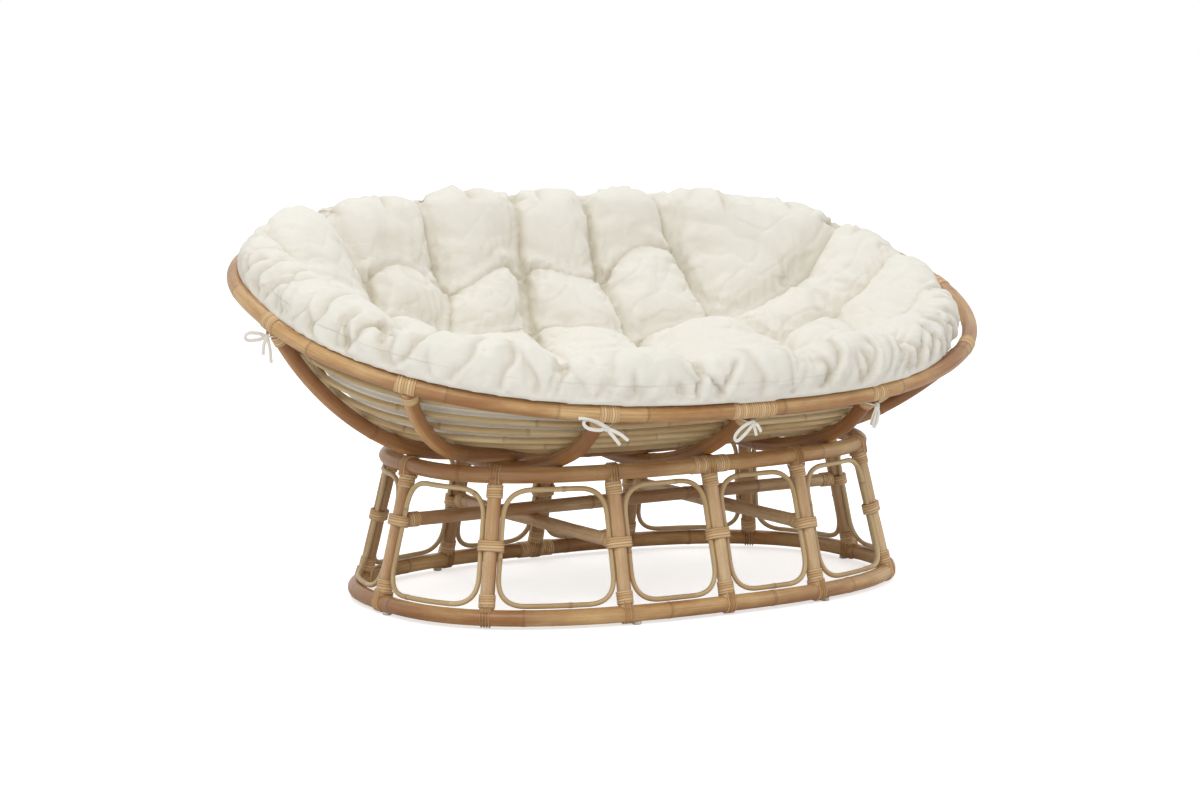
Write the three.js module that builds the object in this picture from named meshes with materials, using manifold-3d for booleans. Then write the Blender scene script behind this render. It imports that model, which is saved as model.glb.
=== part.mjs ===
// A two-seat papasan armchair: a bowl of bent poles with a tufted cushion, resting on an oval stand.
// Sizes are in millimetres, +Z is up, the sitter faces -Y, and left and right are as seen from the front.
import * as THREE from 'three';
import { mergeVertices } from 'three/addons/utils/BufferGeometryUtils.js';
import Module from 'manifold-3d';

const wasm = await Module();
wasm.setup();

// Fit between pieces that touch
const seatGap = 0.3;
const rockGap = 1;
const crossGap = 2;
const slatGap = 0.5;

// Stand: two oval rings, splayed posts, a thin loop in each bay, three stretchers and glides
const standPole = 32;
const standLength = 1150;
const standDepth = 736;
const standSquareness = 2.55;
const topLength = 1020;
const topDepth = 588;
const topSquareness = 2.78;
const ringRise = 268;
const postPole = 28;
const postInset = 6;
const postCornerAngle = 37;
const postSideAngle = 72;
const loopPole = 10;
const loopCornerReach = 56;
const loopTopGap = 7;
const loopBottomGap = 2;
const stretcherPole = 27;
const stretcherRise = 134;
const glideDiameter = 18;
const glideHeight = 7;
const glideChamfer = 1.5;
const glideOffset = 22;

// Lashings: strips of peel wound round the joints
const peelThickness = 1.8;
const collarLength = 38;
const collarInset = 5;
const midWrapLength = 28;
const stretcherWrapLength = 30;
const ringSpliceLength = 82;
const rimWrapLength = 38;
const rimSpliceLength = 98;
const neckWrapLength = 20;
const neckWrapInset = 6;

// Bowl: an oval rim tilted back, three short poles under it, three long ones over those, and slats
const rimPole = 32;
const rimLength = 1622;
const rimFrontReach = 536;
const rimBackReach = 461;
const rimSquareness = 2.36;
const rimTilt = 18.3;
const rimRise = 317;
const rimSetBack = 64.6;
const rimSag = 22;
const arcPole = 30;
const shortArcSpacing = 318;
const flareEndX = 666;
const flareRingX = 488;
const flareMiddleY = 70;
const flareLift = 6;
const flarePower = 4;
const slatPole = 14;

// The bowl rocks about a level axis above the seat: its short poles are round about it
const rockRise = 747;
const rockFrontAngle = 23;
const rockBackAngle = 28.5;

// Slopes of the bent poles, in degrees, and how far their curves reach, as shares of each stretch
const shortFrontSlope = 34;
const shortBackSlope = 84;
const ringSlope = 17;
const endSlope = 62;
const flareFrontSlope = 60;
const flareBackSlope = 78;
const curveShare = 0.36;
const ringBendShare = 0.18;
const rimBendShare = 0.46;

// Places of the slats and of the cushion's rows, as shares of each pole from the rim to its middle
const slatShares = [0.09, 0.16, 0.23, 0.31, 0.4, 0.5];
const undersideShares = [0.6, 0.44, 0.27, 0.11];
const undersideCentreShares = [0.34, 0.68];

// Cushion: one thick pad that follows the bowl, with a gathered roll that lies on the rim
const cushionLift = 5.5;
const cushionSideGap = 5;
const rollOverhang = 5;
const rollFrontHeight = 112;
const rollBackHeight = 72;
const rollWidth = 104;
const rollShares = [[0, 0], [-0.06, 0.4], [0.06, 0.8], [0.34, 1], [0.7, 0.92], [1, 0.58]];
const seatThickness = 150;
const seatPower = 3;
const seatGapShares = [1 / 3, 2 / 3];
const crownShare = 0.5;

// Tufts of the right half, from front to back, as shares of half the rim's length and of its reach that side
const outerTuftShares = [
  [0.12, -0.545], [0.367, -0.5], [0.623, -0.3], [0.727, 0.026], [0.656, 0.403], [0.367, 0.707], [0.12, 0.733],
];
const innerTuftShares = [[0.138, -0.18], [0.434, -0.116], [0.4, 0.343], [0.13, 0.373]];

// Creases between the tufts: how deep they are at the tufts and half way, and how wide
const outerTuftDepth = 62;
const innerTuftDepth = 58;
const edgeCreaseDepth = 26;
const sideCreaseDepth = 40;
const outerCreaseDepth = 20;
const linkCreaseDepth = 34;
const innerCreaseDepth = 26;
const creaseWidth = 34;

// Ties: strips of tape, sewn to the cushion and knotted below the rim
const tieWidth = 9;
const tieThickness = 2.4;
const tieKnot = 15;
const tieTopAngle = 48;
const tieKnotAngle = -50;
const tieLoopLength = 40;
const tieLoopDrop = 12;
const tieTailLength = 30;
const tieTailDrop = 44;
const strapShares = [0, 0.25, 0.5, 0.75];

// Facets: sides of a pole, how far a straight facet may stray from its curve, and the cushion's columns
const poleSides = 8;
const postSides = 6;
const thinSides = 5;
const poleError = 1.2;
const arcError = 0.9;
const thinError = 1.8;
const curveSamples = 48;
const lengthSamples = 480;
const columnsPerTuft = 4;
const tieSteps = 3;
const tapeSides = 4;

const colours = {
  pole: 0xc4965f,
  post: 0xcda57a,
  arc: 0xa9703c,
  thin: 0xbea57d,
  cushion: 0xebe8de,
  tie: 0xe0ddd4,
  glide: 0xd8d4ca,
};
const roughness = { pole: 0.5, post: 0.5, arc: 0.5, thin: 0.6, cushion: 0.95, tie: 0.95, glide: 0.5 };

const { degToRad, lerp } = THREE.MathUtils;
const vector = (x, y, z) => new THREE.Vector3(x, y, z);
const up = vector(0, 0, 1);
const flatRadius = (diameter, sides = poleSides) => (diameter / 2) * Math.cos(Math.PI / sides);

// Heights above the floor
const bottomRingHeight = glideHeight + seatGap + flatRadius(standPole);
const topRingHeight = bottomRingHeight + ringRise;
const rimHeight = topRingHeight + rimRise;
const rockHeight = topRingHeight + rockRise;
const crossHeight = bottomRingHeight + stretcherRise;
const longHeight = crossHeight + 2 * flatRadius(stretcherPole) + seatGap;

const model = new THREE.Group();

function add(name, geometry, kind) {
  geometry.computeVertexNormals();
  const material = new THREE.MeshStandardMaterial({
    color: colours[kind],
    roughness: roughness[kind],
    metalness: 0,
  });
  const mesh = new THREE.Mesh(geometry, material);
  mesh.name = name;
  model.add(mesh);
}

// An oval with flattened sides: its reach in a direction, with a full turn as 1
function ovalReach(halfLength, halfDepth, squareness, turn) {
  const x = Math.abs(Math.cos(2 * Math.PI * turn)) / halfLength;
  const y = Math.abs(Math.sin(2 * Math.PI * turn)) / halfDepth;
  return (x ** squareness + y ** squareness) ** (-1 / squareness);
}

const wrapped = (share) => share - Math.floor(share);
const turnOf = (x, y) => wrapped(Math.atan2(y, x) / (2 * Math.PI));

// A level oval ring of the stand
class RingCurve extends THREE.Curve {
  constructor(length, depth, squareness, height) {
    super();
    this.arcLengthDivisions = lengthSamples;
    this.halfLength = length / 2;
    this.halfDepth = depth / 2;
    this.squareness = squareness;
    this.height = height;
  }

  getPoint(turn) {
    const reach = ovalReach(this.halfLength, this.halfDepth, this.squareness, turn);
    const angle = 2 * Math.PI * turn;
    return vector(reach * Math.cos(angle), reach * Math.sin(angle), this.height);
  }

  // How far the ring lies in front of or behind the middle at a place along its length
  depthAt(x) {
    const share = 1 - Math.abs(x / this.halfLength) ** this.squareness;
    return this.halfDepth * share ** (1 / this.squareness);
  }

  // The point of the ring at a post's angle
  postPoint(angle) {
    const power = 2 / this.squareness;
    const c = Math.cos(degToRad(angle));
    const s = Math.sin(degToRad(angle));
    const x = this.halfLength * Math.sign(c) * Math.abs(c) ** power;
    const y = this.halfDepth * Math.sign(s) * Math.abs(s) ** power;
    return vector(x, y, this.height);
  }
}

// The rim: an oval in a plane tilted back, with more reach in front than behind, that sags front and back
class RimCurve extends THREE.Curve {
  constructor() {
    super();
    this.arcLengthDivisions = lengthSamples;
  }

  place(x, reach) {
    const y = rimSetBack + reach * Math.cos(degToRad(rimTilt));
    const z = rimHeight + reach * Math.sin(degToRad(rimTilt)) - rimSag * (reach / rimFrontReach) ** 2;
    return vector(x, y, z);
  }

  getPoint(turn) {
    const depth = wrapped(turn) < 1 / 2 ? rimBackReach : rimFrontReach;
    const reach = ovalReach(rimLength / 2, depth, rimSquareness, turn);
    const angle = 2 * Math.PI * turn;
    return this.place(reach * Math.cos(angle), reach * Math.sin(angle));
  }

  // The turn at a place along the rim's length, in front (side -1) or behind (side 1)
  turnAt(x, side) {
    const depth = side < 0 ? rimFrontReach : rimBackReach;
    const share = 1 - Math.abs(x / (rimLength / 2)) ** rimSquareness;
    return turnOf(x, side * depth * share ** (1 / rimSquareness));
  }

  // The turn at the left (side -1) or right end (side 1) where the rim passes over the middle of the stand
  endTurn(side) {
    const reach = -rimSetBack / Math.cos(degToRad(rimTilt));
    const share = 1 - Math.abs(reach / rimFrontReach) ** rimSquareness;
    return turnOf((side * rimLength * share ** (1 / rimSquareness)) / 2, reach);
  }
}

const bottomRing = new RingCurve(standLength, standDepth, standSquareness, bottomRingHeight);
const topRing = new RingCurve(topLength, topDepth, topSquareness, topRingHeight);
const rim = new RimCurve();
const rimUp = vector(0, -Math.sin(degToRad(rimTilt)), Math.cos(degToRad(rimTilt)));

// The share of a closed curve's length that lies before a turn
function lengthShare(curve, turn) {
  const lengths = curve.getLengths();
  const step = turn * lengthSamples;
  const low = Math.min(Math.floor(step), lengthSamples - 1);
  return lerp(lengths[low], lengths[low + 1], step - low) / lengths[lengthSamples];
}

// Shares of a curve's length from one to another, closer where it bends more
function bendShares(curve, from, to, error, closed) {
  const total = curve.getLength();
  const wrap = (share) => (closed ? wrapped(share) : share);
  const step = (to - from) / curveSamples;
  const tangents = [];
  for (let i = 0; i <= curveSamples; i += 1) tangents.push(curve.getTangentAt(wrap(from + i * step)));
  const weight = [0];
  for (let i = 1; i <= curveSamples; i += 1) {
    const bend = tangents[i].angleTo(tangents[i - 1]);
    weight.push(weight[i - 1] + Math.sqrt((bend * step * total) / (8 * error)));
  }
  const count = Math.max(1, Math.ceil(weight[curveSamples]));
  const shares = [from];
  for (let piece = 1; piece < count; piece += 1) {
    const goal = (weight[curveSamples] * piece) / count;
    const high = weight.findIndex((value) => value >= goal);
    const within = (goal - weight[high - 1]) / (weight[high] - weight[high - 1]);
    shares.push(from + (high - 1 + within) * step);
  }
  return [...shares, to];
}

// Sections along a pole: plain between its wraps, and a strip of peel thicker on each wrap
function poleSections(curve, radius, { wraps = [], error = poleError, closed = false, grow = 0 } = {}) {
  const total = curve.getLength();
  const spans = wraps
    .map(({ middle, length }) => ({
      start: middle - (length / 2 + grow) / total,
      end: middle + (length / 2 + grow) / total,
    }))
    .sort((first, second) => first.start - second.start);
  const edge = peelThickness / total;
  const stretch = (from, to, size) =>
    bendShares(curve, from, to, error, closed).map((share) => ({ share, radius: size }));
  if (spans.length === 0) {
    const plain = stretch(0, 1, radius + grow);
    return closed ? plain.slice(0, -1) : plain;
  }
  const sections = [];
  spans.forEach((span, index) => {
    const before = index > 0 ? spans[index - 1].end + edge : 0;
    const opening = closed && index === 0 ? spans[spans.length - 1].end + edge - 1 : before;
    sections.push(...stretch(opening, span.start - edge, radius + grow));
    sections.push(...stretch(span.start, span.end, radius + peelThickness + grow));
  });
  if (!closed) sections.push(...stretch(spans[spans.length - 1].end + edge, 1, radius + grow));
  return sections;
}

// A pole of flat sides along a curve; one flat faces the given way, and a spread makes the section oblong
function poleGeometry(curve, sections, facing, { sides = poleSides, closed = false, spread = 0 } = {}) {
  const positions = [];
  for (const { share, radius } of sections) {
    const place = closed ? wrapped(share) : share;
    const centre = curve.getPointAt(place);
    const tangent = curve.getTangentAt(place);
    const across = facing.clone().cross(tangent).normalize();
    const over = tangent.clone().cross(across);
    for (let side = 0; side < sides; side += 1) {
      const angle = ((side + 1 / 2) * 2 * Math.PI) / sides;
      const shift = spread * Math.sign(Math.round(Math.cos(angle) * sides));
      const point = centre.clone().addScaledVector(across, radius * Math.cos(angle) + shift);
      point.addScaledVector(over, radius * Math.sin(angle));
      positions.push(...point.toArray());
    }
  }
  const rows = sections.length;
  const indices = [];
  for (let row = 0; row < (closed ? rows : rows - 1); row += 1) {
    for (let side = 0; side < sides; side += 1) {
      const beside = (side + 1) % sides;
      const next = ((row + 1) % rows) * sides;
      const here = row * sides;
      indices.push(here + side, here + beside, next + beside, here + side, next + beside, next + side);
    }
  }
  if (!closed) {
    const last = (rows - 1) * sides;
    for (let side = 1; side < sides - 1; side += 1) {
      indices.push(0, side + 1, side, last, last + side, last + side + 1);
    }
  }
  return bufferGeometry(positions, indices);
}

function bufferGeometry(positions, indices) {
  const geometry = new THREE.BufferGeometry();
  geometry.setAttribute('position', new THREE.Float32BufferAttribute(positions, 3));
  geometry.setIndex(indices);
  return geometry;
}

// Between a geometry and a solid that can be joined and cut
function solidOf(geometry) {
  const bare = geometry.clone();
  bare.deleteAttribute('normal');
  bare.deleteAttribute('uv');
  const merged = mergeVertices(bare);
  const vertProperties = new Float32Array(merged.attributes.position.array);
  const triVerts = new Uint32Array(merged.index.array);
  return new wasm.Manifold(new wasm.Mesh({ numProp: 3, vertProperties, triVerts }));
}

function geometryOf(solid) {
  const { vertProperties, triVerts } = solid.getMesh();
  return bufferGeometry(Array.from(vertProperties), Array.from(triVerts));
}

const cutFrom = (solid, cutters) => cutters.reduce((left, cutter) => left.subtract(cutter), solid);

// The twelve posts, by their angle on both rings, anticlockwise from the right end
const posts = [
  ['right', 0],
  ['back_right_corner', postCornerAngle],
  ['back_right', postSideAngle],
  ['back_centre', 90],
  ['back_left', 180 - postSideAngle],
  ['back_left_corner', 180 - postCornerAngle],
  ['left', 180],
  ['front_left_corner', 180 + postCornerAngle],
  ['front_left', 180 + postSideAngle],
  ['front_centre', 270],
  ['front_right', 360 - postSideAngle],
  ['front_right_corner', 360 - postCornerAngle],
].map(([name, angle]) => {
  const foot = bottomRing.postPoint(angle);
  const head = topRing.postPoint(angle);
  const wrapHeight = name === 'left' || name === 'right' ? longHeight : crossHeight;
  const along = head.clone().sub(foot).setLength(postInset);
  const line = new THREE.LineCurve3(foot.clone().add(along), head.clone().sub(along));
  return { name, foot, head, wrapHeight, line };
});
const postNamed = (wanted) => posts.find(({ name }) => name === wanted);
const postAt = (post, height) => post.foot.clone().lerp(post.head, (height - bottomRingHeight) / ringRise);
const outward = ({ foot }) => vector(foot.x / standLength ** 2, foot.y / standDepth ** 2, 0).normalize();

// Stand rings, each with one splice bound over
function ringGeometry(ring, spliceTurn, grow) {
  const wraps = [{ middle: lengthShare(ring, spliceTurn), length: ringSpliceLength }];
  const sections = poleSections(ring, standPole / 2, { wraps, closed: true, grow });
  return poleGeometry(ring, sections, up, { closed: true });
}

const frontCentre = postNamed('front_centre');
const backCentre = postNamed('back_centre');
const ringSplices = [
  [bottomRing, turnOf(backCentre.foot.x, backCentre.foot.y)],
  [topRing, turnOf(frontCentre.head.x, frontCentre.head.y)],
];
const ringCuts = ringSplices.map(([ring, turn]) => solidOf(ringGeometry(ring, turn, seatGap)));
add('bottom_ring', ringGeometry(...ringSplices[0], 0), 'pole');
add('top_ring', ringGeometry(...ringSplices[1], 0), 'pole');

// A thin loop fills each bay: a rounded frame on the skirt between two posts
class LoopCurve extends THREE.Curve {
  constructor(first, second) {
    super();
    this.arcLengthDivisions = lengthSamples;
    this.spans = [
      [bottomRing, lengthShare(bottomRing, turnOf(first.foot.x, first.foot.y))],
      [topRing, lengthShare(topRing, turnOf(first.head.x, first.head.y))],
    ].map(([ring, from], index) => {
      const end = index ? second.head : second.foot;
      const to = lengthShare(ring, turnOf(end.x, end.y));
      return { ring, from, to: to < from ? to + 1 : to };
    });
    this.halfWidths = this.spans.map(({ ring, from, to }) => ((to - from) * ring.getLength()) / 2);
    this.height = first.foot.distanceTo(first.head);
    this.frame = this.roundedFrame();
  }

  // The frame's outline in millimetres: across from the middle of the bay and up from the bottom ring
  roundedFrame() {
    const side = postPole / 2 + loopPole / 2 + seatGap;
    const [low, high] = this.halfWidths.map((halfWidth) => halfWidth - side);
    const edge = standPole / 2 + loopPole / 2;
    const bottom = edge + loopBottomGap;
    const top = this.height - edge - loopTopGap;
    const corners = [[1, bottom], [1, top], [-1, top], [-1, bottom]].map(([end, rise]) => {
      return new THREE.Vector2(end * lerp(low, high, rise / this.height), rise);
    });
    const toward = (from, to) => from.clone().add(to.clone().sub(from).setLength(loopCornerReach));
    const path = new THREE.CurvePath();
    corners.forEach((corner, index) => {
      const before = corners[(index + corners.length - 1) % corners.length];
      const after = corners[(index + 1) % corners.length];
      path.add(new THREE.QuadraticBezierCurve(toward(corner, before), corner, toward(corner, after)));
      path.add(new THREE.LineCurve(toward(corner, after), toward(after, corner)));
    });
    return path;
  }

  getPoint(t) {
    const { x: across, y: rise } = this.frame.getPoint(t);
    const share = across / lerp(...this.halfWidths, rise / this.height);
    const [low, high] = this.spans.map(({ ring, from, to }) => {
      return ring.getPointAt(wrapped((from + to + share * (to - from)) / 2));
    });
    return low.lerp(high, rise / this.height);
  }
}

const loops = posts.map((first, index) => {
  const second = posts[(index + 1) % posts.length];
  const curve = new LoopCurve(first, second);
  const facing = outward(first).add(outward(second)).normalize();
  const make = (grow) => {
    const sections = poleSections(curve, loopPole / 2, { error: thinError, closed: true, grow });
    return poleGeometry(curve, sections, facing, { sides: thinSides, closed: true });
  };
  return { make, cut: solidOf(make(seatGap)) };
});
loops.forEach(({ make }, index) => {
  add(`loop_${String(index + 1).padStart(2, '0')}`, make(0), 'thin');
});

// A post with its collars of peel, and the wrap at its middle that also holds the two loops beside it
function postSolid(post, grow) {
  const total = post.line.getLength();
  const shareAt = (distance) => (distance - postInset) / total;
  const collar = shareAt(standPole / 2 + collarInset + collarLength / 2);
  const wraps = [collar, 1 - collar].map((middle) => ({ middle, length: collarLength }));
  const sections = poleSections(post.line, postPole / 2, { wraps, grow });
  const tube = solidOf(poleGeometry(post.line, sections, outward(post), { sides: postSides }));
  const middle = shareAt(post.foot.distanceTo(postAt(post, post.wrapHeight)));
  const half = (midWrapLength / 2 + grow) / total;
  const radius = postPole / 2 + peelThickness + grow;
  const band = [middle - half, middle + half].map((share) => ({ share, radius }));
  const spread = loopPole + seatGap + peelThickness;
  return tube.add(solidOf(poleGeometry(post.line, band, outward(post), { sides: postSides, spread })));
}

const postCuts = new Map(posts.map((post) => [post, postSolid(post, seatGap)]));
posts.forEach((post, index) => {
  const beside = [loops[index], loops[(index + posts.length - 1) % posts.length]];
  const cutters = [...ringCuts, ...beside.map(({ cut }) => cut)];
  add(`post_${post.name}`, geometryOf(cutFrom(postSolid(post, 0), cutters)), 'post');
});

// Stretchers, coped to the posts at both ends and bound there
function addStretcher(name, [from, to], height) {
  const line = new THREE.LineCurve3(postAt(from, height), postAt(to, height));
  const inset = (postPole / 2 + peelThickness + collarInset + stretcherWrapLength / 2) / line.getLength();
  const wraps = [inset, 1 - inset].map((middle) => ({ middle, length: stretcherWrapLength }));
  const pole = solidOf(poleGeometry(line, poleSections(line, stretcherPole / 2, { wraps }), up));
  add(name, geometryOf(cutFrom(pole, [postCuts.get(from), postCuts.get(to)])), 'post');
}

addStretcher('long_stretcher', [postNamed('left'), postNamed('right')], longHeight);
addStretcher('cross_stretcher_left', [postNamed('front_left'), postNamed('back_left')], crossHeight);
addStretcher('cross_stretcher_right', [postNamed('front_right'), postNamed('back_right')], crossHeight);

// Glides nailed under the bottom ring, beside every second post
const glideProfile = [
  [0, 0],
  [glideDiameter / 2 - glideChamfer, 0],
  [glideDiameter / 2, glideChamfer],
  [glideDiameter / 2, glideHeight],
  [0, glideHeight],
].map(([radius, height]) => new THREE.Vector2(radius, height));
for (const post of posts.filter((_, index) => index % 2 === 0)) {
  const share = lengthShare(bottomRing, turnOf(post.foot.x, post.foot.y));
  const place = bottomRing.getPointAt((share + glideOffset / bottomRing.getLength()) % 1);
  const geometry = new THREE.LatheGeometry(glideProfile, poleSides);
  geometry.rotateX(Math.PI / 2).translate(place.x, place.y, 0);
  add(`glide_${post.name}`, geometryOf(solidOf(geometry)), 'glide');
}

// A smooth outline through knots: each has a place, a slope in degrees and handles back and on
function outlineThrough(knots) {
  const path = new THREE.CurvePath();
  const handle = ({ place, slope }, reach) => {
    const angle = degToRad(slope);
    return new THREE.Vector2(place[0] + reach * Math.cos(angle), place[1] + reach * Math.sin(angle));
  };
  for (let index = 1; index < knots.length; index += 1) {
    const [from, to] = [knots[index - 1], knots[index]];
    const span = Math.hypot(to.place[0] - from.place[0], to.place[1] - from.place[1]);
    const handles = [handle(from, from.on * span), handle(to, -to.back * span)];
    path.add(new THREE.CubicBezierCurve(handle(from, 0), ...handles, handle(to, 0)));
  }
  return path;
}

// A pole bent to an outline and laid in space
class BentPole extends THREE.Curve {
  constructor(outline, lay) {
    super();
    this.arcLengthDivisions = lengthSamples;
    this.outline = outline;
    this.lay = lay;
  }

  getPoint(t) {
    const { x: along, y: height } = this.outline.getPoint(t);
    return this.lay(along, height);
  }
}

// A short pole's radius about the rocking axis, so that it lies on the top ring
function rockRadius(x) {
  const splice = x === 0 ? peelThickness : 0;
  const reach = Math.hypot(topRing.depthAt(x), rockRise);
  return reach - standPole / 2 - splice - flatRadius(arcPole) - rockGap;
}

// Short poles run from the front of the rim, round under the seat, and up to its back
function shortArc(x) {
  const radius = rockRadius(x);
  const front = rim.getPointAt(lengthShare(rim, rim.turnAt(x, -1)));
  const back = rim.getPointAt(lengthShare(rim, rim.turnAt(x, 1)));
  const onRound = (angle) => {
    const turned = degToRad(angle);
    return [radius * Math.sin(turned), rockHeight - radius * Math.cos(turned)];
  };
  const sweep = degToRad(rockFrontAngle + rockBackAngle);
  const round = ((4 / 3) * Math.tan(sweep / 4)) / (2 * Math.sin(sweep / 2));
  const outline = outlineThrough([
    { place: [front.y, front.z], slope: -shortFrontSlope, on: curveShare },
    { place: onRound(-rockFrontAngle), slope: -rockFrontAngle, back: curveShare, on: round },
    { place: onRound(rockBackAngle), slope: rockBackAngle, back: round, on: curveShare },
    { place: [back.y, back.z], slope: shortBackSlope, back: rimBendShare },
  ]);
  return new BentPole(outline, (y, z) => vector(x, y, z));
}

// Height of a long pole where it lies over a short one
function overShortArc(x, y) {
  const radius = rockRadius(x) - 2 * flatRadius(arcPole) - crossGap;
  return rockHeight - Math.sqrt(radius ** 2 - y ** 2);
}

// Long poles cross over the short ones, rest on the top ring and rise to the rim
function longArc({ rimTurn, ringX, slope, middleY, side, lift }) {
  const end = rim.getPoint(rimTurn);
  const flare = Math.abs(end.y - side * middleY);
  const depth = (x) => (side ? side * (middleY + flare * Math.abs(x / end.x) ** flarePower) : 0);
  const middle = overShortArc(0, middleY);
  const beside = overShortArc(shortArcSpacing, depth(shortArcSpacing));
  const besideSlope = THREE.MathUtils.radToDeg(Math.atan2(2 * (beside - middle), shortArcSpacing));
  const touch = standPole / 2 + arcPole / 2 + peelThickness + lift;
  const onRing = topRingHeight + touch / Math.cos(degToRad(ringSlope));
  const half = [
    { place: [shortArcSpacing, beside], slope: besideSlope, back: curveShare, on: curveShare },
    { place: [ringX, onRing], slope: ringSlope, back: curveShare, on: ringBendShare },
    { place: [end.x, end.z], slope, back: rimBendShare },
  ];
  const mirrored = half.map(({ place, slope: rise, back, on }) => ({
    place: [-place[0], place[1]],
    slope: -rise,
    back: on,
    on: back,
  }));
  const centre = { place: [0, middle], slope: 0, back: curveShare, on: curveShare };
  const outline = outlineThrough([...mirrored.reverse(), centre, ...half]);
  return new BentPole(outline, (x, z) => vector(x, depth(x), z));
}

const flareEnd = (side) => rim.turnAt(flareEndX, side);
const shortArcs = [-shortArcSpacing, 0, shortArcSpacing].map(shortArc);
const [leftArc, centreArc, rightArc] = shortArcs;
const middleShape = { ringX: topLength / 2, middleY: 0, lift: 0 };
const middleArc = longArc({ ...middleShape, rimTurn: rim.endTurn(1), slope: endSlope, side: 0 });
const flareShape = { ringX: flareRingX, middleY: flareMiddleY, lift: flareLift };
const frontArc = longArc({ ...flareShape, rimTurn: flareEnd(-1), slope: flareFrontSlope, side: -1 });
const backArc = longArc({ ...flareShape, rimTurn: flareEnd(1), slope: flareBackSlope, side: 1 });

// The rim with a wrap at each pole and one long splice at the front
const rimTurns = [
  rim.endTurn(1) - 1,
  ...[flareEndX, shortArcSpacing, 0, -shortArcSpacing, -flareEndX].map((x) => rim.turnAt(x, 1)),
  rim.endTurn(-1),
  ...[-flareEndX, -shortArcSpacing, 0, shortArcSpacing, flareEndX].map((x) => rim.turnAt(x, -1)),
];
const frontTurn = rim.turnAt(0, -1);

function rimGeometry(grow) {
  const wraps = rimTurns.map((turn) => ({
    middle: lengthShare(rim, wrapped(turn)),
    length: turn === frontTurn ? rimSpliceLength : rimWrapLength,
  }));
  const sections = poleSections(rim, rimPole / 2, { wraps, closed: true, grow });
  return poleGeometry(rim, sections, rimUp, { closed: true });
}

add('rim', rimGeometry(0), 'pole');
const rimCut = solidOf(rimGeometry(seatGap));

function arcSolid(curve, facing, grow) {
  const inset = (rimPole / 2 + peelThickness + neckWrapInset + neckWrapLength / 2) / curve.getLength();
  const wraps = [inset, 1 - inset].map((middle) => ({ middle, length: neckWrapLength }));
  const sections = poleSections(curve, arcPole / 2, { wraps, error: arcError, grow });
  return solidOf(poleGeometry(curve, sections, facing));
}

const arcs = [
  ['short_arc_left', leftArc, vector(1, 0, 0)],
  ['short_arc_centre', centreArc, vector(1, 0, 0)],
  ['short_arc_right', rightArc, vector(1, 0, 0)],
  ['long_arc_middle', middleArc, vector(0, 1, 0)],
  ['long_arc_front', frontArc, vector(0, 1, 0)],
  ['long_arc_back', backArc, vector(0, 1, 0)],
];
for (const [name, curve, facing] of arcs) {
  add(name, geometryOf(cutFrom(arcSolid(curve, facing, 0), [rimCut])), 'arc');
}
const arcCuts = arcs.map(([, curve, facing]) => arcSolid(curve, facing, seatGap));

// Half of each pole, from the rim to its lowest point, in the order of the rim's turns
const halfArcs = [
  [middleArc, 1],
  [backArc, 1],
  [rightArc, 1],
  [centreArc, 1],
  [leftArc, 1],
  [backArc, 0],
  [middleArc, 0],
  [frontArc, 0],
  [leftArc, 0],
  [centreArc, 0],
  [rightArc, 0],
  [frontArc, 1],
];

// Where a pole is lowest, as a share of its length
function lowestShare(curve) {
  const heights = curve.getSpacedPoints(lengthSamples).map(({ z }) => z);
  return heights.indexOf(Math.min(...heights)) / lengthSamples;
}

const lowest = new Map(halfArcs.map(([curve]) => [curve, lowestShare(curve)]));

// A closed curve round the inside of the bowl: a share down every pole and an offset in from them
function bowlRing(share, offset) {
  const knots = halfArcs.map(([curve, end]) => {
    const place = lerp(end, lowest.get(curve), share);
    return { centre: curve.getPointAt(place), tangent: curve.getTangentAt(place) };
  });
  const points = knots.map(({ centre, tangent }, index) => {
    const before = knots[(index + knots.length - 1) % knots.length].centre;
    const after = knots[(index + 1) % knots.length].centre;
    const inward = after.clone().sub(before).cross(tangent).normalize();
    return centre.clone().addScaledVector(inward, inward.z < 0 ? -offset : offset);
  });
  const curve = new THREE.CatmullRomCurve3(points, true);
  curve.arcLengthDivisions = lengthSamples;
  return curve;
}

// Slats are held at every pole, and are let into it where they press on it
slatShares.forEach((share, index) => {
  const curve = bowlRing(share, arcPole / 2 + slatPole / 2 + slatGap);
  const held = halfArcs.map((_, pole) => lengthShare(curve, pole / halfArcs.length));
  const sections = held.flatMap((from, pole) =>
    bendShares(curve, from, held[pole + 1] ?? 1, thinError, true).slice(0, -1));
  const stations = sections.map((place) => ({ share: place, radius: slatPole / 2 }));
  const pole = solidOf(poleGeometry(curve, stations, up, { sides: thinSides, closed: true }));
  add(`slat_${index + 1}`, geometryOf(cutFrom(pole, arcCuts)), 'thin');
});

// Tufts in the order of the rim's turns: the left half mirrors the right one
function tuftPlaces(shares) {
  const right = shares.map(([x, y]) => {
    return vector((x * rimLength) / 2, y * (y < 0 ? rimFrontReach : rimBackReach), 0);
  });
  const left = right.map(({ x, y }) => vector(-x, y, 0)).reverse();
  return [...right, ...left];
}

const outerTufts = tuftPlaces(outerTuftShares);
const innerTufts = tuftPlaces(innerTuftShares);
const columns = outerTufts.length * columnsPerTuft;
const cushionBase = arcPole / 2 + slatPole + slatGap + cushionLift;
const rollShelf = flatRadius(rimPole + 2 * peelThickness) + seatGap;

function planDistance(first, second) {
  return Math.hypot(first.x - second.x, first.y - second.y);
}

function nearestIndex(point, others) {
  const distances = others.map((other) => planDistance(point, other));
  return distances.indexOf(Math.min(...distances));
}

// The rim's turn at a share of the way round the poles
function turnRound(share) {
  const place = wrapped(share) * rimTurns.length;
  const pole = Math.floor(place);
  return lerp(rimTurns[pole], rimTurns[pole + 1] ?? rimTurns[0] + 1, place - pole);
}

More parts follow.
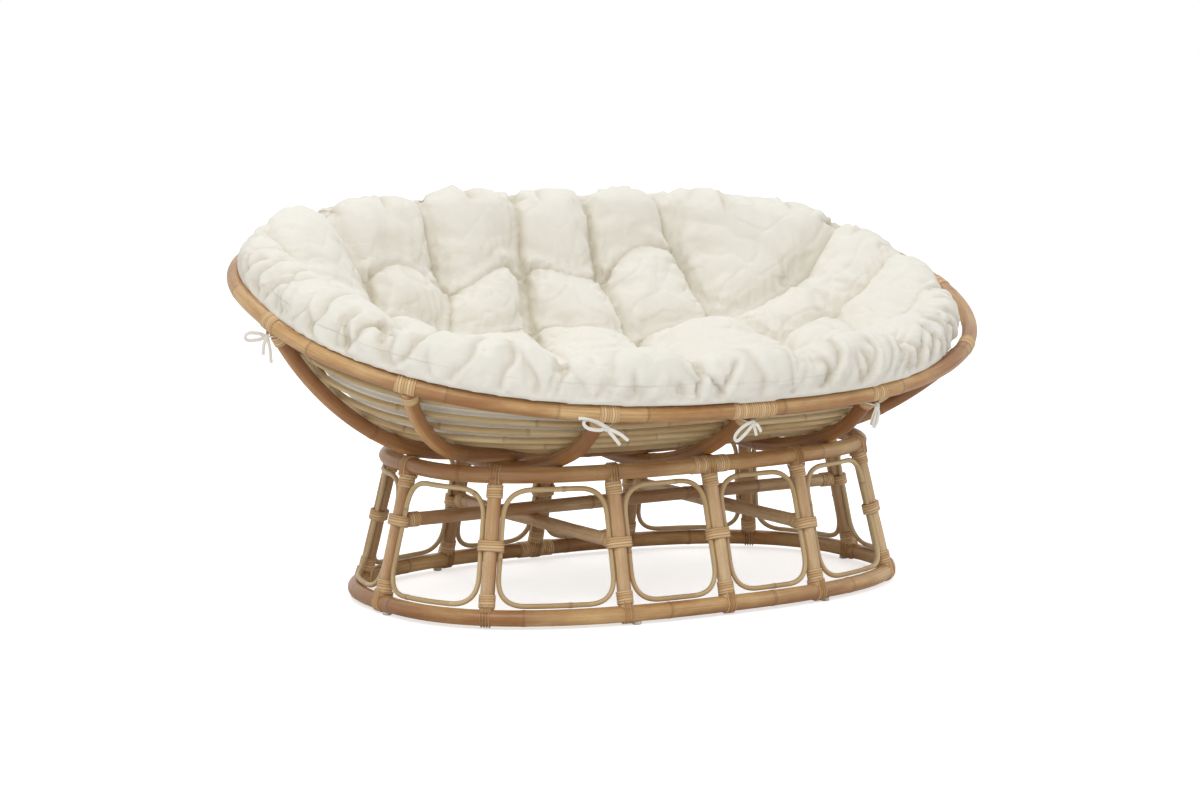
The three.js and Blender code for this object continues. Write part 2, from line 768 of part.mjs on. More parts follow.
function rimFrame(turn) {
  const centre = rim.getPoint(wrapped(turn));
  const out = rim.getTangent(wrapped(turn)).cross(rimUp).normalize();
  return (across, rise) => centre.clone().addScaledVector(out, across).addScaledVector(rimUp, rise);
}

// The roll lies on the rim, higher in front than behind
function rollPoint(share, [acrossShare, riseShare]) {
  const turn = turnRound(share);
  const height = lerp(rollBackHeight, rollFrontHeight, (1 - Math.sin(2 * Math.PI * turn)) / 2);
  const across = rimPole / 2 + rollOverhang - rollWidth * acrossShare;
  return rimFrame(turn)(across, lerp(rollShelf, height, riseShare));
}

// Columns of the cushion, as shares of the way round the poles: one starts nearest each outer tuft
const rollEdge = rollShares[rollShares.length - 1];
const edgeSamples = Array.from({ length: lengthSamples }, (_, index) => rollPoint(index / lengthSamples, rollEdge));
const tuftStarts = outerTufts.map((tuft) => nearestIndex(tuft, edgeSamples) / lengthSamples);
const columnStarts = [...tuftStarts, tuftStarts[0] + 1];
const columnShares = tuftStarts.flatMap((start, index) => {
  const from = start < tuftStarts[0] ? start + 1 : start;
  const next = columnStarts[index + 1];
  const to = next < from ? next + 1 : next;
  return Array.from({ length: columnsPerTuft }, (_, step) => wrapped(lerp(from, to, step / columnsPerTuft)));
});

// Creases run from each outer tuft to the edge, to the next one and to the nearest inner tuft
function creaseLines() {
  const edges = outerTufts.map((tuft) => edgeSamples[nearestIndex(tuft, edgeSamples)]);
  const outer = outerTufts.flatMap((tuft, index) => {
    const next = outerTufts[(index + 1) % outerTufts.length];
    const inner = innerTufts[nearestIndex(tuft, innerTufts)];
    return [
      { from: tuft, to: edges[index], depths: [outerTuftDepth, sideCreaseDepth, edgeCreaseDepth] },
      { from: tuft, to: next, depths: [outerTuftDepth, outerCreaseDepth, outerTuftDepth] },
      { from: tuft, to: inner, depths: [outerTuftDepth, linkCreaseDepth, innerTuftDepth] },
    ];
  });
  const ring = innerTufts.map((tuft, index) => {
    const next = innerTufts[(index + 1) % innerTufts.length];
    return { from: tuft, to: next, depths: [innerTuftDepth, innerCreaseDepth, innerTuftDepth] };
  });
  return [...outer, ...ring];
}

const creases = creaseLines();

// How deep the deepest crease is at a place: each one's depth falls off beside its line
function creaseDepth(place) {
  const depths = creases.map(({ from, to, depths: [first, middle, last] }) => {
    const reach = to.clone().sub(from).setZ(0);
    const passed = place.clone().sub(from).setZ(0).dot(reach) / reach.lengthSq();
    const share = Math.min(Math.max(passed, 0), 1);
    const away = planDistance(place, from.clone().addScaledVector(reach, share));
    const half = share < 1 / 2 ? lerp(first, middle, 2 * share) : lerp(middle, last, 2 * share - 1);
    return half * Math.exp(-away / creaseWidth);
  });
  return Math.max(...depths);
}

// The ring of inner tufts: each one lies across from the middle of the outer tufts that it is linked to
function innerRow() {
  const links = outerTufts.map((tuft) => nearestIndex(tuft, innerTufts));
  const knots = innerTufts.map((tuft, index) => {
    const first = links.indexOf(index);
    const last = links.lastIndexOf(index);
    return { tuft, column: ((first + last) / 2) * columnsPerTuft };
  });
  const [{ tuft, column: start }] = knots;
  const closed = [...knots, { tuft, column: start + columns }];
  return columnShares.map((_, column) => {
    const place = column < start ? column + columns : column;
    const after = closed.findIndex((knot) => knot.column > place);
    const [from, to] = [closed[after - 1], closed[after]];
    return from.tuft.clone().lerp(to.tuft, (place - from.column) / (to.column - from.column));
  });
}

// The seat sinks smoothly from the roll to its middle, and each crease is pressed in square to it
function seatPoint(place, edge, crown) {
  const rise = edge.z - crown.z;
  const reach = Math.hypot(edge.x, edge.y);
  const outShare = Math.hypot(place.x, place.y) / reach;
  const slope = Math.atan2(seatPower * rise * outShare ** (seatPower - 1), reach);
  const depth = creaseDepth(place);
  const point = place.clone().setZ(crown.z + rise * outShare ** seatPower - depth * Math.cos(slope));
  return point.addScaledVector(place.clone().setZ(0).normalize(), depth * Math.sin(slope));
}

function seatRows(edgeRow, crown) {
  const outer = columnShares.map((_, column) => {
    const tuft = Math.floor(column / columnsPerTuft);
    const share = (column % columnsPerTuft) / columnsPerTuft;
    return outerTufts[tuft].clone().lerp(outerTufts[(tuft + 1) % outerTufts.length], share);
  });
  const inner = innerRow();
  const between = (from, to) => seatGapShares.map((share) =>
    from.map((point, column) => point.clone().setZ(0).lerp(to[column], share)));
  const crownRow = inner.map((point) => point.clone().multiplyScalar(crownShare));
  const places = [...between(edgeRow, outer), outer, ...between(outer, inner), inner, crownRow];
  return places.map((row) => row.map((place, column) => seatPoint(place, edgeRow[column], crown)));
}

// The cushion: rows of points round the bowl, from the middle of the underside, over the roll, to the top
function cushionGeometry() {
  const side = -flatRadius(rimPole) - peelThickness - cushionSideGap;
  const underside = undersideShares.map((share) => {
    const curve = bowlRing(share, cushionBase);
    return columnShares.map((place) => curve.getPoint(place));
  });
  const inner = columnShares.map((place) => rimFrame(turnRound(place))(side, rollShelf));
  const floor = vector(0, 0, middleArc.getPoint(1 / 2).z + arcPole / 2 + cushionLift);
  const crown = floor.clone().setZ(floor.z + seatThickness);
  const middle = undersideCentreShares.map((share) => {
    return underside[0].map((point) => floor.clone().lerp(point, share));
  });
  const roll = rollShares.map((shares) => columnShares.map((place) => rollPoint(place, shares)));
  const rows = [...middle, ...underside, inner, ...roll, ...seatRows(roll[roll.length - 1], crown)];
  const positions = [...rows.flat(), floor, crown].flatMap((point) => point.toArray());
  const indices = [];
  const last = rows.length - 1;
  const [floorIndex, crownIndex] = [rows.length * columns, rows.length * columns + 1];
  for (let column = 0; column < columns; column += 1) {
    const beside = (column + 1) % columns;
    for (let row = 0; row < last; row += 1) {
      const [here, above] = [row * columns, (row + 1) * columns];
      indices.push(here + column, here + beside, above + beside);
      indices.push(here + column, above + beside, above + column);
    }
    indices.push(floorIndex, beside, column);
    indices.push(last * columns + column, last * columns + beside, crownIndex);
  }
  return bufferGeometry(positions, indices);
}

add('cushion', cushionGeometry(), 'cushion');

// Each tie comes down from under the roll, round the outside of the rim, to a bow; its tape is laid in
// short straight lengths, so that no bend folds into itself
function tieSolid(turn) {
  const spot = rim.getPoint(turn);
  const along = rim.getTangent(turn);
  const out = along.clone().cross(rimUp).normalize();
  const radius = rimPole / 2 + peelThickness + seatGap + tieThickness / 2;
  const round = (angle, reach) =>
    spot
      .clone()
      .addScaledVector(out, reach * Math.cos(degToRad(angle)))
      .addScaledVector(rimUp, reach * Math.sin(degToRad(angle)));
  const knotPlace = round(tieKnotAngle, radius + tieKnot / 2);
  const strapPoints = strapShares.map((share) => round(lerp(tieTopAngle, tieKnotAngle, share), radius));
  const strap = new THREE.CatmullRomCurve3([...strapPoints, knotPlace]);
  const fromKnot = (sideways, drop, forward) => {
    const point = knotPlace.clone().addScaledVector(along, sideways);
    return point.addScaledVector(up, -drop).addScaledVector(out, forward);
  };
  const strips = [strap];
  for (const side of [-1, 1]) {
    const tip = side * tieTailLength;
    const [bend, end] = [0, tieTailDrop].map((drop) => fromKnot(tip, drop, tieKnot));
    strips.push(
      new THREE.QuadraticBezierCurve3(knotPlace, bend, end),
      new THREE.CatmullRomCurve3([
        knotPlace,
        fromKnot(side * tieLoopLength, -tieWidth / 2, tieWidth),
        fromKnot(side * (tieLoopLength + tieWidth), tieLoopDrop, tieWidth),
        fromKnot(side * tieLoopLength, tieLoopDrop + tieWidth, tieWidth),
        fromKnot(0, tieThickness, 0),
      ]),
    );
  }
  const spread = (tieWidth - tieThickness) / 2;
  const sections = Array.from({ length: tieSteps + 1 }, (_, step) => ({
    share: step / tieSteps,
    radius: tieThickness / Math.SQRT2,
  }));
  const tape = strips.flatMap((strip) => {
    const corners = poleGeometry(strip, sections, out, { sides: tapeSides, spread }).attributes.position;
    const corner = (place) => vector(0, 0, 0).fromBufferAttribute(corners, place).toArray();
    return Array.from({ length: tieSteps }, (_, step) => {
      const ends = Array.from({ length: 2 * tapeSides }, (_, place) => corner(step * tapeSides + place));
      return wasm.Manifold.hull(ends);
    });
  });
  const knot = solidOf(new THREE.IcosahedronGeometry(tieKnot / 2).translate(...knotPlace.toArray()));
  return cutFrom(wasm.Manifold.union([knot, ...tape]), [rimCut]);
}

const tiePlaces = [
  ['left', rim.endTurn(-1)],
  ['front_left', rim.turnAt(-shortArcSpacing, -1)],
  ['front_centre', rim.turnAt(0, -1)],
  ['front_right', rim.turnAt(shortArcSpacing, -1)],
];
for (const [name, turn] of tiePlaces) add(`tie_${name}`, geometryOf(tieSolid(turn)), 'tie');

// The origin lies on the floor, under the middle of the whole chair
const middle = new THREE.Box3().setFromObject(model).getCenter(vector(0, 0, 0));
for (const { geometry } of model.children) geometry.translate(-middle.x, -middle.y, 0);

export default model;
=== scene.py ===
# %% [markdown]
# # A two-seat papasan armchair in rattan, with a tufted cushion
# The chair has three parts: a stand of two oval rings held apart by splayed posts, a shallow bowl of
# bent poles that rests in the upper ring, and one thick cushion tied to the bowl's rim. The packed
# model gives each of them its place; this script gives them their looks. Rattan is a climbing palm, so
# its poles are round, solid and jointed, and everything is bound with strips of its peel.

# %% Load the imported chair
import math

import bpy
import numpy as np
from mathutils import Matrix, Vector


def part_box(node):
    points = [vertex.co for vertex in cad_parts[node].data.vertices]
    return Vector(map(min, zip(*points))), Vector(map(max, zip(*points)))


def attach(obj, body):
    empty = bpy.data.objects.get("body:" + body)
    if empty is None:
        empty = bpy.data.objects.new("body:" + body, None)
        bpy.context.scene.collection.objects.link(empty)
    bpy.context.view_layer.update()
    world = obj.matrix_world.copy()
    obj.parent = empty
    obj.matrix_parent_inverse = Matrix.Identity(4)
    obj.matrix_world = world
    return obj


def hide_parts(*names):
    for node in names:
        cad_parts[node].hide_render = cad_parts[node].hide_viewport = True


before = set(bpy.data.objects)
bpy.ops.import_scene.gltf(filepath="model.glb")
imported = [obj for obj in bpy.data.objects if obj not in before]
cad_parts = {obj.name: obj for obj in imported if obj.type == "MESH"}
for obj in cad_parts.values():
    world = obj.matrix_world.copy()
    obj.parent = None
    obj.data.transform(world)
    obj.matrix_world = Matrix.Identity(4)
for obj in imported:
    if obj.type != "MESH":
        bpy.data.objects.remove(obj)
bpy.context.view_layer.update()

# %% [markdown]
# ## Where things are
# The bends below are worked out in millimetres about the middle of the stand, which is how a maker
# would set them out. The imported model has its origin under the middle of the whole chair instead, so
# the middle of the long stretcher tells how far to shift.

# %% Millimetres about the stand, to metres about the chair
stretcher_low, stretcher_high = (np.array(corner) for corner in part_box("long_stretcher"))
stand_middle = (stretcher_low + stretcher_high) / 2 * [1, 1, 0]


def to_metres(points):
    """Points in millimetres about the stand's middle, as metres about the chair's origin."""
    return np.asarray(points, float) / 1000 + stand_middle


def placed(name, data):
    """A new object in the scene."""
    made = bpy.data.objects.new(name, data)
    bpy.context.collection.objects.link(made)
    return made


print("the stand's middle:", stand_middle.round(4))

# %% [markdown]
# ## The camera
# The photograph was taken from the chair's front left, a little above the seat, with a long lens. Its
# place and angles were solved from the two rings and the rim, so the camera is set from them.

# %% Camera
camera_place = (-3543, -5469, 1217)
camera_yaw, camera_pitch, camera_roll = 0.5662, 0.1269, -0.0036
camera_lens = 96


def camera_axes(yaw, pitch, roll):
    """Right, up and back as columns: right is level, up tips by the pitch, and both turn by the roll."""
    right = np.array([math.cos(yaw), -math.sin(yaw), 0])
    upward = np.array([math.sin(yaw) * math.sin(pitch), math.cos(yaw) * math.sin(pitch), math.cos(pitch)])
    turned = right * math.cos(roll) - upward * math.sin(roll), right * math.sin(roll) + upward * math.cos(roll)
    return np.stack([*turned, np.cross(*turned)], axis=1)


camera = placed("camera", bpy.data.cameras.new("camera"))
camera.data.lens = camera_lens
camera.data.clip_end = 100
axes = camera_axes(camera_yaw, camera_pitch, camera_roll)
camera.matrix_world = Matrix.Translation(to_metres(camera_place)) @ Matrix(axes.tolist()).to_4x4()
bpy.context.scene.camera = camera

# %% [markdown]
# ## Grids, surfaces and poles
# Every new piece is a grid of points: rows along a path and columns round it. One helper turns such a
# grid into a mesh, with the length along the path and the share of the way round as its UV map, so that
# a pattern can follow the pole however it bends.

# %% A mesh from a grid of points
quad_corners = ((0, 0), (0, 1), (1, 1), (1, 0))


def grid_places(rows, columns, closed):
    """The row and column at which each quad of a grid starts."""
    return [part.ravel() for part in np.indices((rows if closed else rows - 1, columns))]


def grid_faces(rows, columns, closed=False, start=0):
    """Quads between rows and columns that close round; an open grid also has a flat cap at each end."""
    row, column = grid_places(rows, columns, closed)
    quads = np.stack([(row + down) % rows * columns + (column + on) % columns
                      for down, on in quad_corners], axis=1)
    ends = [] if closed else [np.arange(columns)[::-1], np.arange((rows - 1) * columns, rows * columns)]
    return (quads + start).tolist() + [(end + start).tolist() for end in ends]


def new_mesh(name, points, faces):
    """A mesh from points in millimetres and faces that name them by number."""
    mesh = bpy.data.meshes.new(name)
    mesh.from_pydata(to_metres(points).tolist(), [], faces)
    return mesh


def carry(mesh, name, values):
    """A number for each vertex, that a material can read."""
    layer = mesh.attributes.new(name, "FLOAT", "POINT")
    layer.data.foreach_set("value", np.asarray(values, np.float32).ravel())


def dress(piece, body, material, stands_for):
    """Smooth shading, one material, the body that the piece rides on and what it stands for."""
    piece.data.polygons.foreach_set("use_smooth", [True] * len(piece.data.polygons))
    piece.data.materials.clear()
    piece.data.materials.append(material)
    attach(piece, body)
    if stands_for:
        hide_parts(*stands_for)


def surface(name, grid, along, body, material, stands_for=(), closed=False, values=None):
    """Rows x columns of points in millimetres become quads; u is the length along, v the share round.

    A closed grid joins its last row to its first. Values are extra numbers for the material, one per point.
    """
    rows, columns = grid.shape[:2]
    mesh = new_mesh(name, grid.reshape(-1, 3), grid_faces(rows, columns, closed))
    row, column = grid_places(rows, columns, closed)
    uv = np.stack([np.stack([along[row + down], (column + on) / columns], axis=1)
                   for down, on in quad_corners], axis=1).reshape(-1, 2)
    if not closed:
        uv = np.concatenate([uv, *(np.tile([[along[end], 0.5]], (columns, 1)) for end in (0, -1))])
    mesh.uv_layers.new(name="lengthwise").data.foreach_set("uv", uv.astype(np.float32).ravel())
    for key, numbers in (values or {}).items():
        carry(mesh, key, np.broadcast_to(numbers, (rows, columns)))
    dress(placed(name, mesh), body, material, stands_for)


# %% [markdown]
# ## Paths
# A path is a row of points. Spacing them evenly keeps knuckles and strands the same size all the way
# along, and a frame of two directions across the path lets a section ride on it without twisting.

# %% Even spacing, lengths and frames


def unit(vectors):
    """Vectors scaled to length one."""
    return vectors / np.linalg.norm(vectors, axis=-1, keepdims=True)


def with_end(points, closed):
    """The path with its first point once more at the end where it closes."""
    return np.vstack([points, points[:1]]) if closed else points


def lengths_along(points, closed=False):
    """Running length at each point, in millimetres, with one more entry where the path closes."""
    return np.concatenate([[0], np.cumsum(np.linalg.norm(np.diff(with_end(points, closed), axis=0), axis=1))])


def sampled(places, along, points):
    """Points of a path at given running lengths, each coordinate interpolated by itself."""
    return np.stack([np.interp(places, along, points[:, axis]) for axis in range(3)], axis=-1)


def evenly(points, gap, closed=False):
    """The same path with points about a gap apart, by interpolating along its running length."""
    along = lengths_along(points, closed)
    count = max(2, round(along[-1] / gap))
    spaced = sampled(np.linspace(0, along[-1], count + 1), along, with_end(points, closed))
    return spaced[:-1] if closed else spaced


def frames(points, facing, closed=False):
    """Across and over at each point: across is square to the path and to the facing direction."""
    tangent = unit(np.roll(points, -1, 0) - np.roll(points, 1, 0) if closed else np.gradient(points, axis=0))
    across = unit(np.cross(facing, tangent))
    return across, np.cross(tangent, across)


def carried(points, across, over, wide, high):
    """A section carried along a path: centre + across * wide + over * high."""
    return points[:, None] + (across[:, None] * wide[..., None] + over[:, None] * high[..., None])


def angles_round(sides):
    """Evenly spaced angles for a full turn."""
    return 2 * np.pi * np.arange(sides) / sides


# %% [markdown]
# ## Rattan
# A rattan pole is jointed like bamboo: every few hand-widths a low ridge runs round it, with a darker
# line beside it, and each length between two ridges has a tone of its own. The ridges go into the shape
# and also into a value that the material darkens by, so that colour and relief stay together.

# %% Knuckles and tones along a pole
dice = np.random.default_rng(7)
pole_step = 4
most_knuckles = 40
knuckle_start, knuckle_gap = (20, 140), (170, 330)
knuckle_rise, knuckle_width = 0.7, 4
knuckle_room, ring_room = 10, 30
line_width = 1.6
waver_rise = 0.25
far_away = 999.0


def jointed(along, total, closed=False):
    """Swelling, knuckle value and tone at each running length.

    A knuckle is a bell curve exp(-(distance / width)^2); the swelling is its height plus a slow waver.
    """
    places = dice.uniform(*knuckle_start) + np.cumsum(dice.uniform(*knuckle_gap, most_knuckles))
    places = places[places < total - (ring_room if closed else knuckle_room)]
    away = np.abs(along[:, None] - places[None]) if len(places) else np.full((len(along), 1), far_away)
    bell = np.exp(-((away / knuckle_width) ** 2)).max(axis=1)
    waver = waver_rise * np.sin(2 * np.pi * along / total * dice.integers(2, 5) + dice.uniform(0, 6))
    tones = dice.uniform(0, 1, most_knuckles + 1)
    line = np.exp(-(((away - 1) / line_width) ** 2)).max(axis=1)
    return knuckle_rise * bell + waver, line, tones[np.searchsorted(places, along)]


def rattan(node, path, diameter, facing, body, slot, closed=False, sides=22, kind="pole"):
    """A round pole with knuckles along a path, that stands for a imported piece; its slot picks its finish."""
    points = evenly(path, pole_step, closed)
    along = lengths_along(points, closed)
    swelling, line, tone = jointed(along[: len(points)], along[-1], closed)
    radius = (diameter / 2 + swelling)[:, None]
    angle = angles_round(sides)
    grid = carried(points, *frames(points, facing, closed), radius * np.cos(angle), radius * np.sin(angle))
    surface(f"{node}_{kind}", grid, along / 1000, body, rattan_finishes[slot], (node,), closed,
            values={"knuckle": line[:, None], "tone": tone[:, None]})


# %% [markdown]
# ## Finishes
# The finishes are built from nodes, with a small helper that makes a node and sets or links its sockets.
# Colours are written as a screen shows them and turned to the linear values that Blender works in.

# %% Helpers for node trees


def shade(red, green, blue):
    """A screen colour from 0 to 255 as linear light: c / 12.92, or ((c + 0.055) / 1.055) ^ 2.4."""
    levels = np.array([red, green, blue]) / 255
    linear = np.where(levels <= 0.04045, levels / 12.92, ((levels + 0.055) / 1.055) ** 2.4)
    return (*linear.tolist(), 1)


class Nodes:
    """A node tree whose nodes are made one call at a time."""

    def __init__(self, tree):
        self.tree = tree

    def set(self, node, settings):
        """Each setting goes to the socket of its name or number: a node's output links, a value is set."""
        for key, value in settings.items():
            socket = node.inputs[key]
            if isinstance(value, bpy.types.NodeSocket):
                self.tree.links.new(value, socket)
            else:
                socket.default_value = value

    def node(self, kind, settings=None, output=0, **options):
        """A node of a kind, with its options and sockets set; gives back one of its outputs."""
        made = self.tree.nodes.new(kind)
        for key, value in options.items():
            setattr(made, key, value)
        self.set(made, settings or {})
        return made.outputs[output]

    def maths(self, operation, first, second=0.0, third=0.0):
        """One sum of up to three values."""
        return self.node("ShaderNodeMath", {0: first, 1: second, 2: third}, operation=operation)


class Finish(Nodes):
    """A material built on Blender's principled shader."""

    def __init__(self, name):
        self.material = bpy.data.materials.new(name)
        self.material.use_nodes = True
        super().__init__(self.material.node_tree)
        self.shader = self.tree.nodes["Principled BSDF"]

    def look(self, **settings):
        """Set the shader's own sockets, whose names are written with underscores."""
        self.set(self.shader, {key.replace("_", " "): value for key, value in settings.items()})

    def mix(self, share, first, second):
        """Two colours mixed by a share."""
        return self.node("ShaderNodeMix", {0: share, 6: first, 7: second}, 2, data_type="RGBA")

    def value(self, name):
        """A number that the mesh carries for each point."""
        return self.node("ShaderNodeAttribute", output=2, attribute_name=name)

    def ramp(self, value, low, high, most=1.0):
        """0 below low and most above high, straight between."""
        return self.node("ShaderNodeMapRange", {0: value, 1: low, 2: high, 4: most})

    def noise(self, vector, scale, detail=3.0, roughness=0.5):
        """Soft random patches."""
        settings = {"Vector": vector, "Scale": scale, "Detail": detail, "Roughness": roughness}
        return self.node("ShaderNodeTexNoise", settings)

    def uv_parts(self):
        """The two numbers of the UV map: u along the piece and v round it."""
        parts = self.tree.nodes.new("ShaderNodeSeparateXYZ")
        self.set(parts, {0: self.node("ShaderNodeUVMap", uv_map="lengthwise")})
        return parts.outputs[0], parts.outputs[1]

    def round_pole(self, lengthwise, roundwise):
        """The UV map wrapped round a pole, (u a, cos(2 pi v) b, sin(2 pi v) b), so that no seam shows."""
        u, v = self.uv_parts()
        turn = self.maths("MULTIPLY", v, 2 * math.pi)
        parts = [self.maths("MULTIPLY", u, lengthwise)]
        parts += [self.maths("MULTIPLY", self.maths(wave, turn), roundwise) for wave in ("COSINE", "SINE")]
        return self.node("ShaderNodeCombineXYZ", dict(enumerate(parts)))

    def stain(self, colour, stains):
        """Stains over a colour: each has a value, its ramp's low and high, a strength and a tint."""
        for value, low, high, most, tint in stains:
            colour = self.mix(self.ramp(value, low, high, most), colour, tint)
        return colour

    def bump(self, height, distance, strength=1.0):
        """A relief on the surface, in metres."""
        settings = {"Height": height, "Distance": distance, "Strength": strength}
        self.look(Normal=self.node("ShaderNodeBump", settings))


# %% [markdown]
# ### Rattan skin
# Seen close, the skin is a satin yellow-brown with fine fibres that run along the pole, small darker
# flecks, and whole lengths that are redder where the pole was heated to bend it. The fibres come from
# noise stretched along the pole's own UV map, and the knuckles and tones from the values in the mesh.

# %% Rattan finish
fleck_colour, knuckle_colour = shade(112, 70, 38), shade(96, 58, 32)


def rattan_finish(name, pale, deep, scorched, scorch, roughness):
    """Patches of pale and deep, fibres, flecks, scorched lengths and dark knuckle lines."""
    skin = Finish(name)
    patches = skin.noise(skin.round_pole(6, 0.3), 1.0, 4.0, 0.62)
    fibres = skin.noise(skin.round_pole(6, 9), 1.0, 3.0, 0.6)
    flecks = skin.noise(skin.round_pole(55, 5), 1.0, 2.0, 0.7)
    heated = skin.noise(skin.round_pole(2.2, 0.3), 1.0, 2.0)
    share = skin.maths("MULTIPLY_ADD", skin.value("tone"), 0.4, skin.ramp(patches, 0.36, 0.64, 0.6))
    fibre_colour = (*(0.45 * channel for channel in shade(*deep)[:3]), 1)
    colour = skin.stain(skin.mix(share, shade(*pale), shade(*deep)), [
        (heated, 0.42, 0.62, scorch, shade(*scorched)), (fibres, 0.4, 0.68, 0.4, fibre_colour),
        (flecks, 0.62, 0.74, 0.3, fleck_colour), (skin.value("knuckle"), 0, 1, 0.42, knuckle_colour)])
    skin.look(Base_Color=colour, Specular_IOR_Level=0.5, Coat_Weight=0.2, Coat_Roughness=0.28,
              Roughness=skin.maths("MULTIPLY_ADD", patches, 0.14, roughness - 0.07))
    skin.bump(fibres, 0.0003, 0.6)
    return skin.material


rattan_looks = {
    "rattan_thick_pole": ("ring rattan", (236, 200, 142), (176, 122, 64), (138, 78, 34), 0.65, 0.4),
    "rattan_post": ("post rattan", (240, 212, 166), (188, 140, 88), (148, 88, 44), 0.5, 0.42),
    "rattan_bent_pole": ("bent rattan", (212, 164, 106), (158, 102, 50), (128, 72, 32), 0.7, 0.4),
    "rattan_thin_pole": ("thin rattan", (230, 208, 162), (192, 160, 108), (164, 120, 72), 0.3, 0.5),
}
rattan_finishes = {slot: rattan_finish(*looks) for slot, looks in rattan_looks.items()}

# %% [markdown]
# ### Peel
# The lashings are strips of the skin, split off and wound wet, so that they dry tight. Each turn of the
# strip has its own tone, and the strip is smooth and pale with fine lines along it. Shade is painted
# dark brown into the grooves between turns and along the strips' edges. On a winding, u counts the
# turns, so the whole part of u picks the tone.

# %% Peel finish
peel = Finish("rattan peel")
strand_u, strand_v = peel.uv_parts()
strand_turn = peel.maths("SUBTRACT", strand_u, strand_v)
strand_tone = peel.node("ShaderNodeTexWhiteNoise", {1: peel.maths("FLOOR", strand_turn)}, noise_dimensions="1D")
strand_lines = peel.node("ShaderNodeCombineXYZ", {0: peel.maths("MULTIPLY", strand_turn, 7), 1: strand_v})
# Painted shade: the groove value darkens the gaps between turns, the strips' edges and the sunk ends.
peel_colour = peel.stain(peel.mix(strand_tone, shade(232, 202, 156), shade(208, 168, 116)), [
    (peel.noise(strand_lines, 1.0, 2.0), 0.4, 0.7, 0.35, shade(190, 146, 96)),
    (peel.value("groove"), 0, 1, 0.8, shade(120, 78, 42))])
peel.look(Base_Color=peel_colour, Roughness=0.48)
print("finishes:", [material.name for material in (*rattan_finishes.values(), peel.material)])

# %% [markdown]
# ## The stand's rings
# Both rings are bent from one thick pole each, closed with a long spliced joint. Seen from above they
# are ovals with flattened sides: (x / a)^n + (y / b)^n = 1 with n a little above 2.5.

# %% Ovals
pole = 32
bottom_ring_height, top_ring_height = 22.08, 290.08
ring_rise = top_ring_height - bottom_ring_height
bottom_oval, top_oval = (575, 368, 2.55), (510, 294, 2.78)
dense = np.arange(1440) / 1440
upward = np.array([0.0, 0.0, 1.0])


def flat_oval(turn, half_length, half_depth, squareness):
    """x and y at a share of a full turn: the reach in a direction solves (x / a)^n + (y / b)^n = 1."""
    angle = 2 * np.pi * np.asarray(turn, float)
    along, depth = np.cos(angle), np.sin(angle)
    total = np.abs(along / half_length) ** squareness + np.abs(depth / half_depth) ** squareness
    reach = total ** (-1 / squareness)
    return reach * along, reach * depth


def half_way_across(x, half_length, half_depth, squareness):
    """How deep an oval is at x: b (1 - |x / a|^n)^(1 / n)."""
    return half_depth * (1 - abs(x / half_length) ** squareness) ** (1 / squareness)


def post_spot(angle, height, half_length, half_depth, squareness):
    """Where a post meets a ring: cos and sin of its angle to the power 2 / n keep posts evenly spread."""
    power = 2 / squareness
    c, s = np.cos(np.radians(angle)), np.sin(np.radians(angle))
    x, y = (half * np.sign(wave) * np.abs(wave) ** power for half, wave in ((half_length, c), (half_depth, s)))
    return np.array([x, y, height])


def level_ring(oval, height):
    """A closed level ring, evenly spaced."""
    x, y = flat_oval(dense, *oval)
    return evenly(np.stack([x, y, np.full_like(x, height)], axis=1), 2, closed=True)


bottom_path, top_path = level_ring(bottom_oval, bottom_ring_height), level_ring(top_oval, top_ring_height)
for name, path in (("bottom_ring", bottom_path), ("top_ring", top_path)):
    rattan(name, path, pole, upward, "stand", "rattan_thick_pole", closed=True)
    print(name, "length in mm:", lengths_along(path, True)[-1].round())

# %% [markdown]
# ## Windings
# A winding is one strip laid side by side in a coil. Its surface is a screw thread: the radius rises
# and falls once for each turn of the strip, and the turn shifts by one strand each time round.

# %% Wound peel
strand_width, strand_thickness = 5.4, 1.5
winding_step, winding_sides = 0.6, 36
end_taper, end_sink = 1.2, 0.8


def winding(name, path, radius, facing, body, spread=0.0):
    """A screw thread: radius + thickness * arch of the strand's own share, with tapered ends.

    The arch is (1 - (2 share - 1)^4), nearly flat with steep sides, and spread pulls the section oblong.
    """
    points = evenly(path, winding_step)
    along = lengths_along(points)
    angle = angles_round(winding_sides)
    share = (along[:, None] / strand_width - angle[None] / (2 * np.pi)) % 1
    arch = 1 - np.abs(2 * share - 1) ** 4
    edge = np.clip(np.minimum(along, along[-1] - along) / end_taper, 0, 1)[:, None]
    reach = radius + strand_thickness * (0.35 + 0.65 * arch) * edge - end_sink * (1 - edge)
    wide = reach * np.cos(angle) + spread * np.tanh(6 * np.cos(angle))
    grid = carried(points, *frames(points, facing), wide, reach * np.sin(angle))
    # groove carries painted shade: 1 in the gaps between turns and on the sunk ends.
    surface(name, grid, along / strand_width, body, peel.material, values={"groove": 1 - arch * edge})


def straight(start, end):
    """A straight path of points between two places."""
    return np.linspace(start, end, 40)


def stand_wrap(name, start, direction, length, radius, facing, spread=0.0):
    """A winding on a straight pole of the stand: from a place, so far in a direction."""
    winding(name, straight(start, start + direction * length), radius, facing, "stand", spread)


# %% [markdown]
# ## Posts
# Twelve posts lean inwards from the bottom ring to the top one. Each end butts on its ring and is bound
# there: four strands of peel go over the ring side by side, and a collar of level turns holds them down
# on the post. The wrap at the middle also takes in the two thin loops beside the post.

